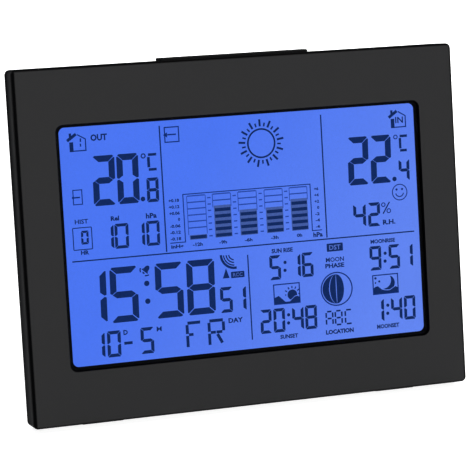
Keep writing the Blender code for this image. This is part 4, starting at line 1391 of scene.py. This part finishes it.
def times_of_day():
    times = (  # figures, their spans, their height and their colon
        ("516", ((9.9, 15.0), (22.6, 24.0), (24.6, 29.8)), (-21.6, -11.1), ((17.0, -14.5), (16.8, -17.9))),
        (
            "2048",
            ((4.5, 9.5), (10.4, 15.6), (18.9, 24.1), (24.8, 30.2)),
            (-44.2, -33.9),
            ((17.3, -37.1), (17.1, -40.6)),
        ),
        ("951", ((55.8, 61.2), (64.7, 69.9), (74.7, 76.0)), (-21.6, -11.1), ((63.1, -14.6), (62.9, -18.0))),
        ("140", ((60.0, 61.3), (64.6, 69.8), (70.7, 76.0)), (-44.4, -34.0), ((63.1, -37.3), (62.9, -40.8))),
    )
    dark = []
    for text, spans, y, colon in times:
        dark += figures(text, spans, y, 1.32) + discs(0.72, *colon)
    picture("picture_times", "ink_dark", dark)
    sunny, sunny_line = sunny_sky((11.0, 23.1), (-32.4, -23.5))
    night, night_line = night_sky((56.5, 68.6), (-32.3, -23.6))
    picture("picture_skies", "ink_dark", [*sunny, *night, *moon_phase((39.8, -28.0))])
    fine = [sunny_line, night_line, hoop((39.85, -28.0), 7.1, 0.55, 72)]
    picture("picture_skies_frames", "ink_fine", fine)
    text = lettering(
        ("SUN RISE", 11.2, 20.8, -10.2, -8.3),
        ("SUNSET", 13.0, 21.1, -47.2, -45.4),
        ("MOON", 35.6, 43.9, -16.2, -14.2, 0.02),
        ("PHASE", 35.2, 43.9, -18.8, -16.8),
        ("LOCATION", 33.9, 46.7, -47.4, -45.4, 0.05),
        ("MOONRISE", 56.6, 68.0, -10.0, -8.2),
        ("MOONSET", 57.6, 68.0, -47.2, -45.3),
    )
    picture("picture_words", "ink_dark", text + place_code())
    picture("picture_season", "ink_dark", [soft_box((36.3, 43.7), (-11.7, -8.2))])
    season = words("DST", 37.4, 42.6, -11.0, -8.9, 0.02, TOP_INK_Y)
    picture("picture_season_text", "ink_light", [season])


def place_code():
    """Three thin-stroked letters of a place, in fourteen-segment style; the letters are generic."""
    low, high = -43.5, -37.5
    mid = (low + high) / 2
    paths = []
    for letter, left, right in (("A", 34.4, 37.4), ("B", 38.6, 41.6), ("C", 43.2, 46.4)):
        sides = (left, right) if letter in "AB" else (left,)
        paths.append([(left + 0.5, high), (right - 0.5, high)])
        paths += [[(x, high - 0.5), (x, mid + 0.4)] for x in sides]
        paths += [[(x, mid - 0.4), (x, low + 0.5)] for x in sides]
        if letter in "AB":
            paths.append([(left + 0.6, mid), (right - 0.6, mid)])
        if letter in "BC":
            paths.append([(left + 0.5, low), (right - 0.5, low)])
    return strokes(0.72, *paths)


def dividers():
    lines = boxes(
        (-76.0, 77.2, -6.42, -5.88),
        (-35.47, -34.9, -5.5, 47.4),
        (36.4, 36.97, -5.5, 47.2),
        (0.13, 0.67, -46.2, -9.8),
    )
    picture("picture_dividers", "ink_dark", lines)


def display():
    outer = rectangle(span(LENS[0]), around_mid(LENS[1]), 0.5, 12)
    inner = rectangle(*APERTURE, APERTURE_CORNER, 12)
    border = mesh_object("printed_border", [band(outer, inner, BORDER_Y)])
    dress(border, "border_print", "case", "lens_clear")
    for part in (outdoor, forecast, indoor, clock, times_of_day, dividers):
        part()


# ---- stage, in metres ----

FLOOR_REACH = 6.0
FLOOR_GLOW = 0.92
WORLD_FILL, WORLD_FILL_STRENGTH = (0.9, 0.93, 1.0, 1.0), 0.07
WORLD_SEEN, WORLD_SEEN_STRENGTH = (1, 1, 1, 1), 1.15
LAMP_AIM = (0, 0, 0.07)
# Each lamp's name, place, size, power in watts, and whether gloss shows it
LAMPS = (
    ("overhead", (0.0, -0.1, 1.5), (2.6, 2.6), 12, True),
    ("front", (0.15, -1.9, 0.3), (1.0, 1.0), 26, False),
    ("behind", (0.9, 1.5, 0.9), (1.4, 0.9), 55, False),
)
CAMERA_PLACE, CAMERA_AIM = (-0.29765, -0.87497, 0.32044), (-0.00553, -0.01503, 0.07468)
FOCAL_MM, SENSOR_MM = 170.9, 36.0


def stage():
    floor_mesh = bpy.data.meshes.new("floor")
    corners = [(x, y, 0) for x, y in rectangle(span(FLOOR_REACH), span(FLOOR_REACH), 0)]
    floor_mesh.from_pydata(corners, [], [(0, 1, 2, 3)])
    floor = linked("floor", floor_mesh)
    floor.location.z = cad_box[0].z
    g = Graph("floor_paper")
    base = g.mix(g.noise(0.02), (0.90, 0.90, 0.90), (0.93, 0.93, 0.93))
    paper = g.finish(colour=base, roughness=0.9, specular=0.1, glow=base, glow_strength=FLOOR_GLOW)
    floor_mesh.materials.append(paper)
    floor.visible_glossy = False


def look_at(obj, place, aim):
    obj.location = place
    obj.rotation_euler = (Vector(aim) - obj.location).to_track_quat("-Z", "Y").to_euler()


def lights():
    world = bpy.data.worlds.new("studio")
    bpy.context.scene.world = world
    world.use_nodes = True
    nodes, links = world.node_tree.nodes, world.node_tree.links
    fill, seen = nodes["Background"], nodes.new("ShaderNodeBackground")
    for node, colour, strength in (
        (fill, WORLD_FILL, WORLD_FILL_STRENGTH),
        (seen, WORLD_SEEN, WORLD_SEEN_STRENGTH),
    ):
        node.inputs[0].default_value = colour
        node.inputs[1].default_value = strength
    path = nodes.new("ShaderNodeLightPath")
    both = nodes.new("ShaderNodeMixShader")
    links.new(path.outputs["Is Camera Ray"], both.inputs[0])
    links.new(fill.outputs[0], both.inputs[1])
    links.new(seen.outputs[0], both.inputs[2])
    links.new(both.outputs[0], nodes["World Output"].inputs[0])
    for name, place, size, power, in_gloss in LAMPS:
        light = bpy.data.lights.new(name, "AREA")
        light.shape = "RECTANGLE"
        light.size, light.size_y = size
        light.energy = power
        lamp = linked(name, light)
        look_at(lamp, place, LAMP_AIM)
        lamp.visible_glossy = in_gloss


def camera():
    lens = bpy.data.cameras.new("camera")
    lens.lens = FOCAL_MM
    lens.sensor_width = SENSOR_MM
    lens.clip_start, lens.clip_end = 0.05, 50
    obj = linked("camera", lens)
    look_at(obj, CAMERA_PLACE, CAMERA_AIM)
    scene = bpy.context.scene
    scene.camera = obj
    scene.view_settings.view_transform = "Standard"
    scene.view_settings.look = "None"


camera()
lights()
stage()
make_materials()
dress_cad_nodes()
front_bezel()
rear_cover()
cover_marks()
battery_door()
screws()
feet()
stand()
snooze_bar()
rear_buttons()
batteries()
battery_contacts()
display()
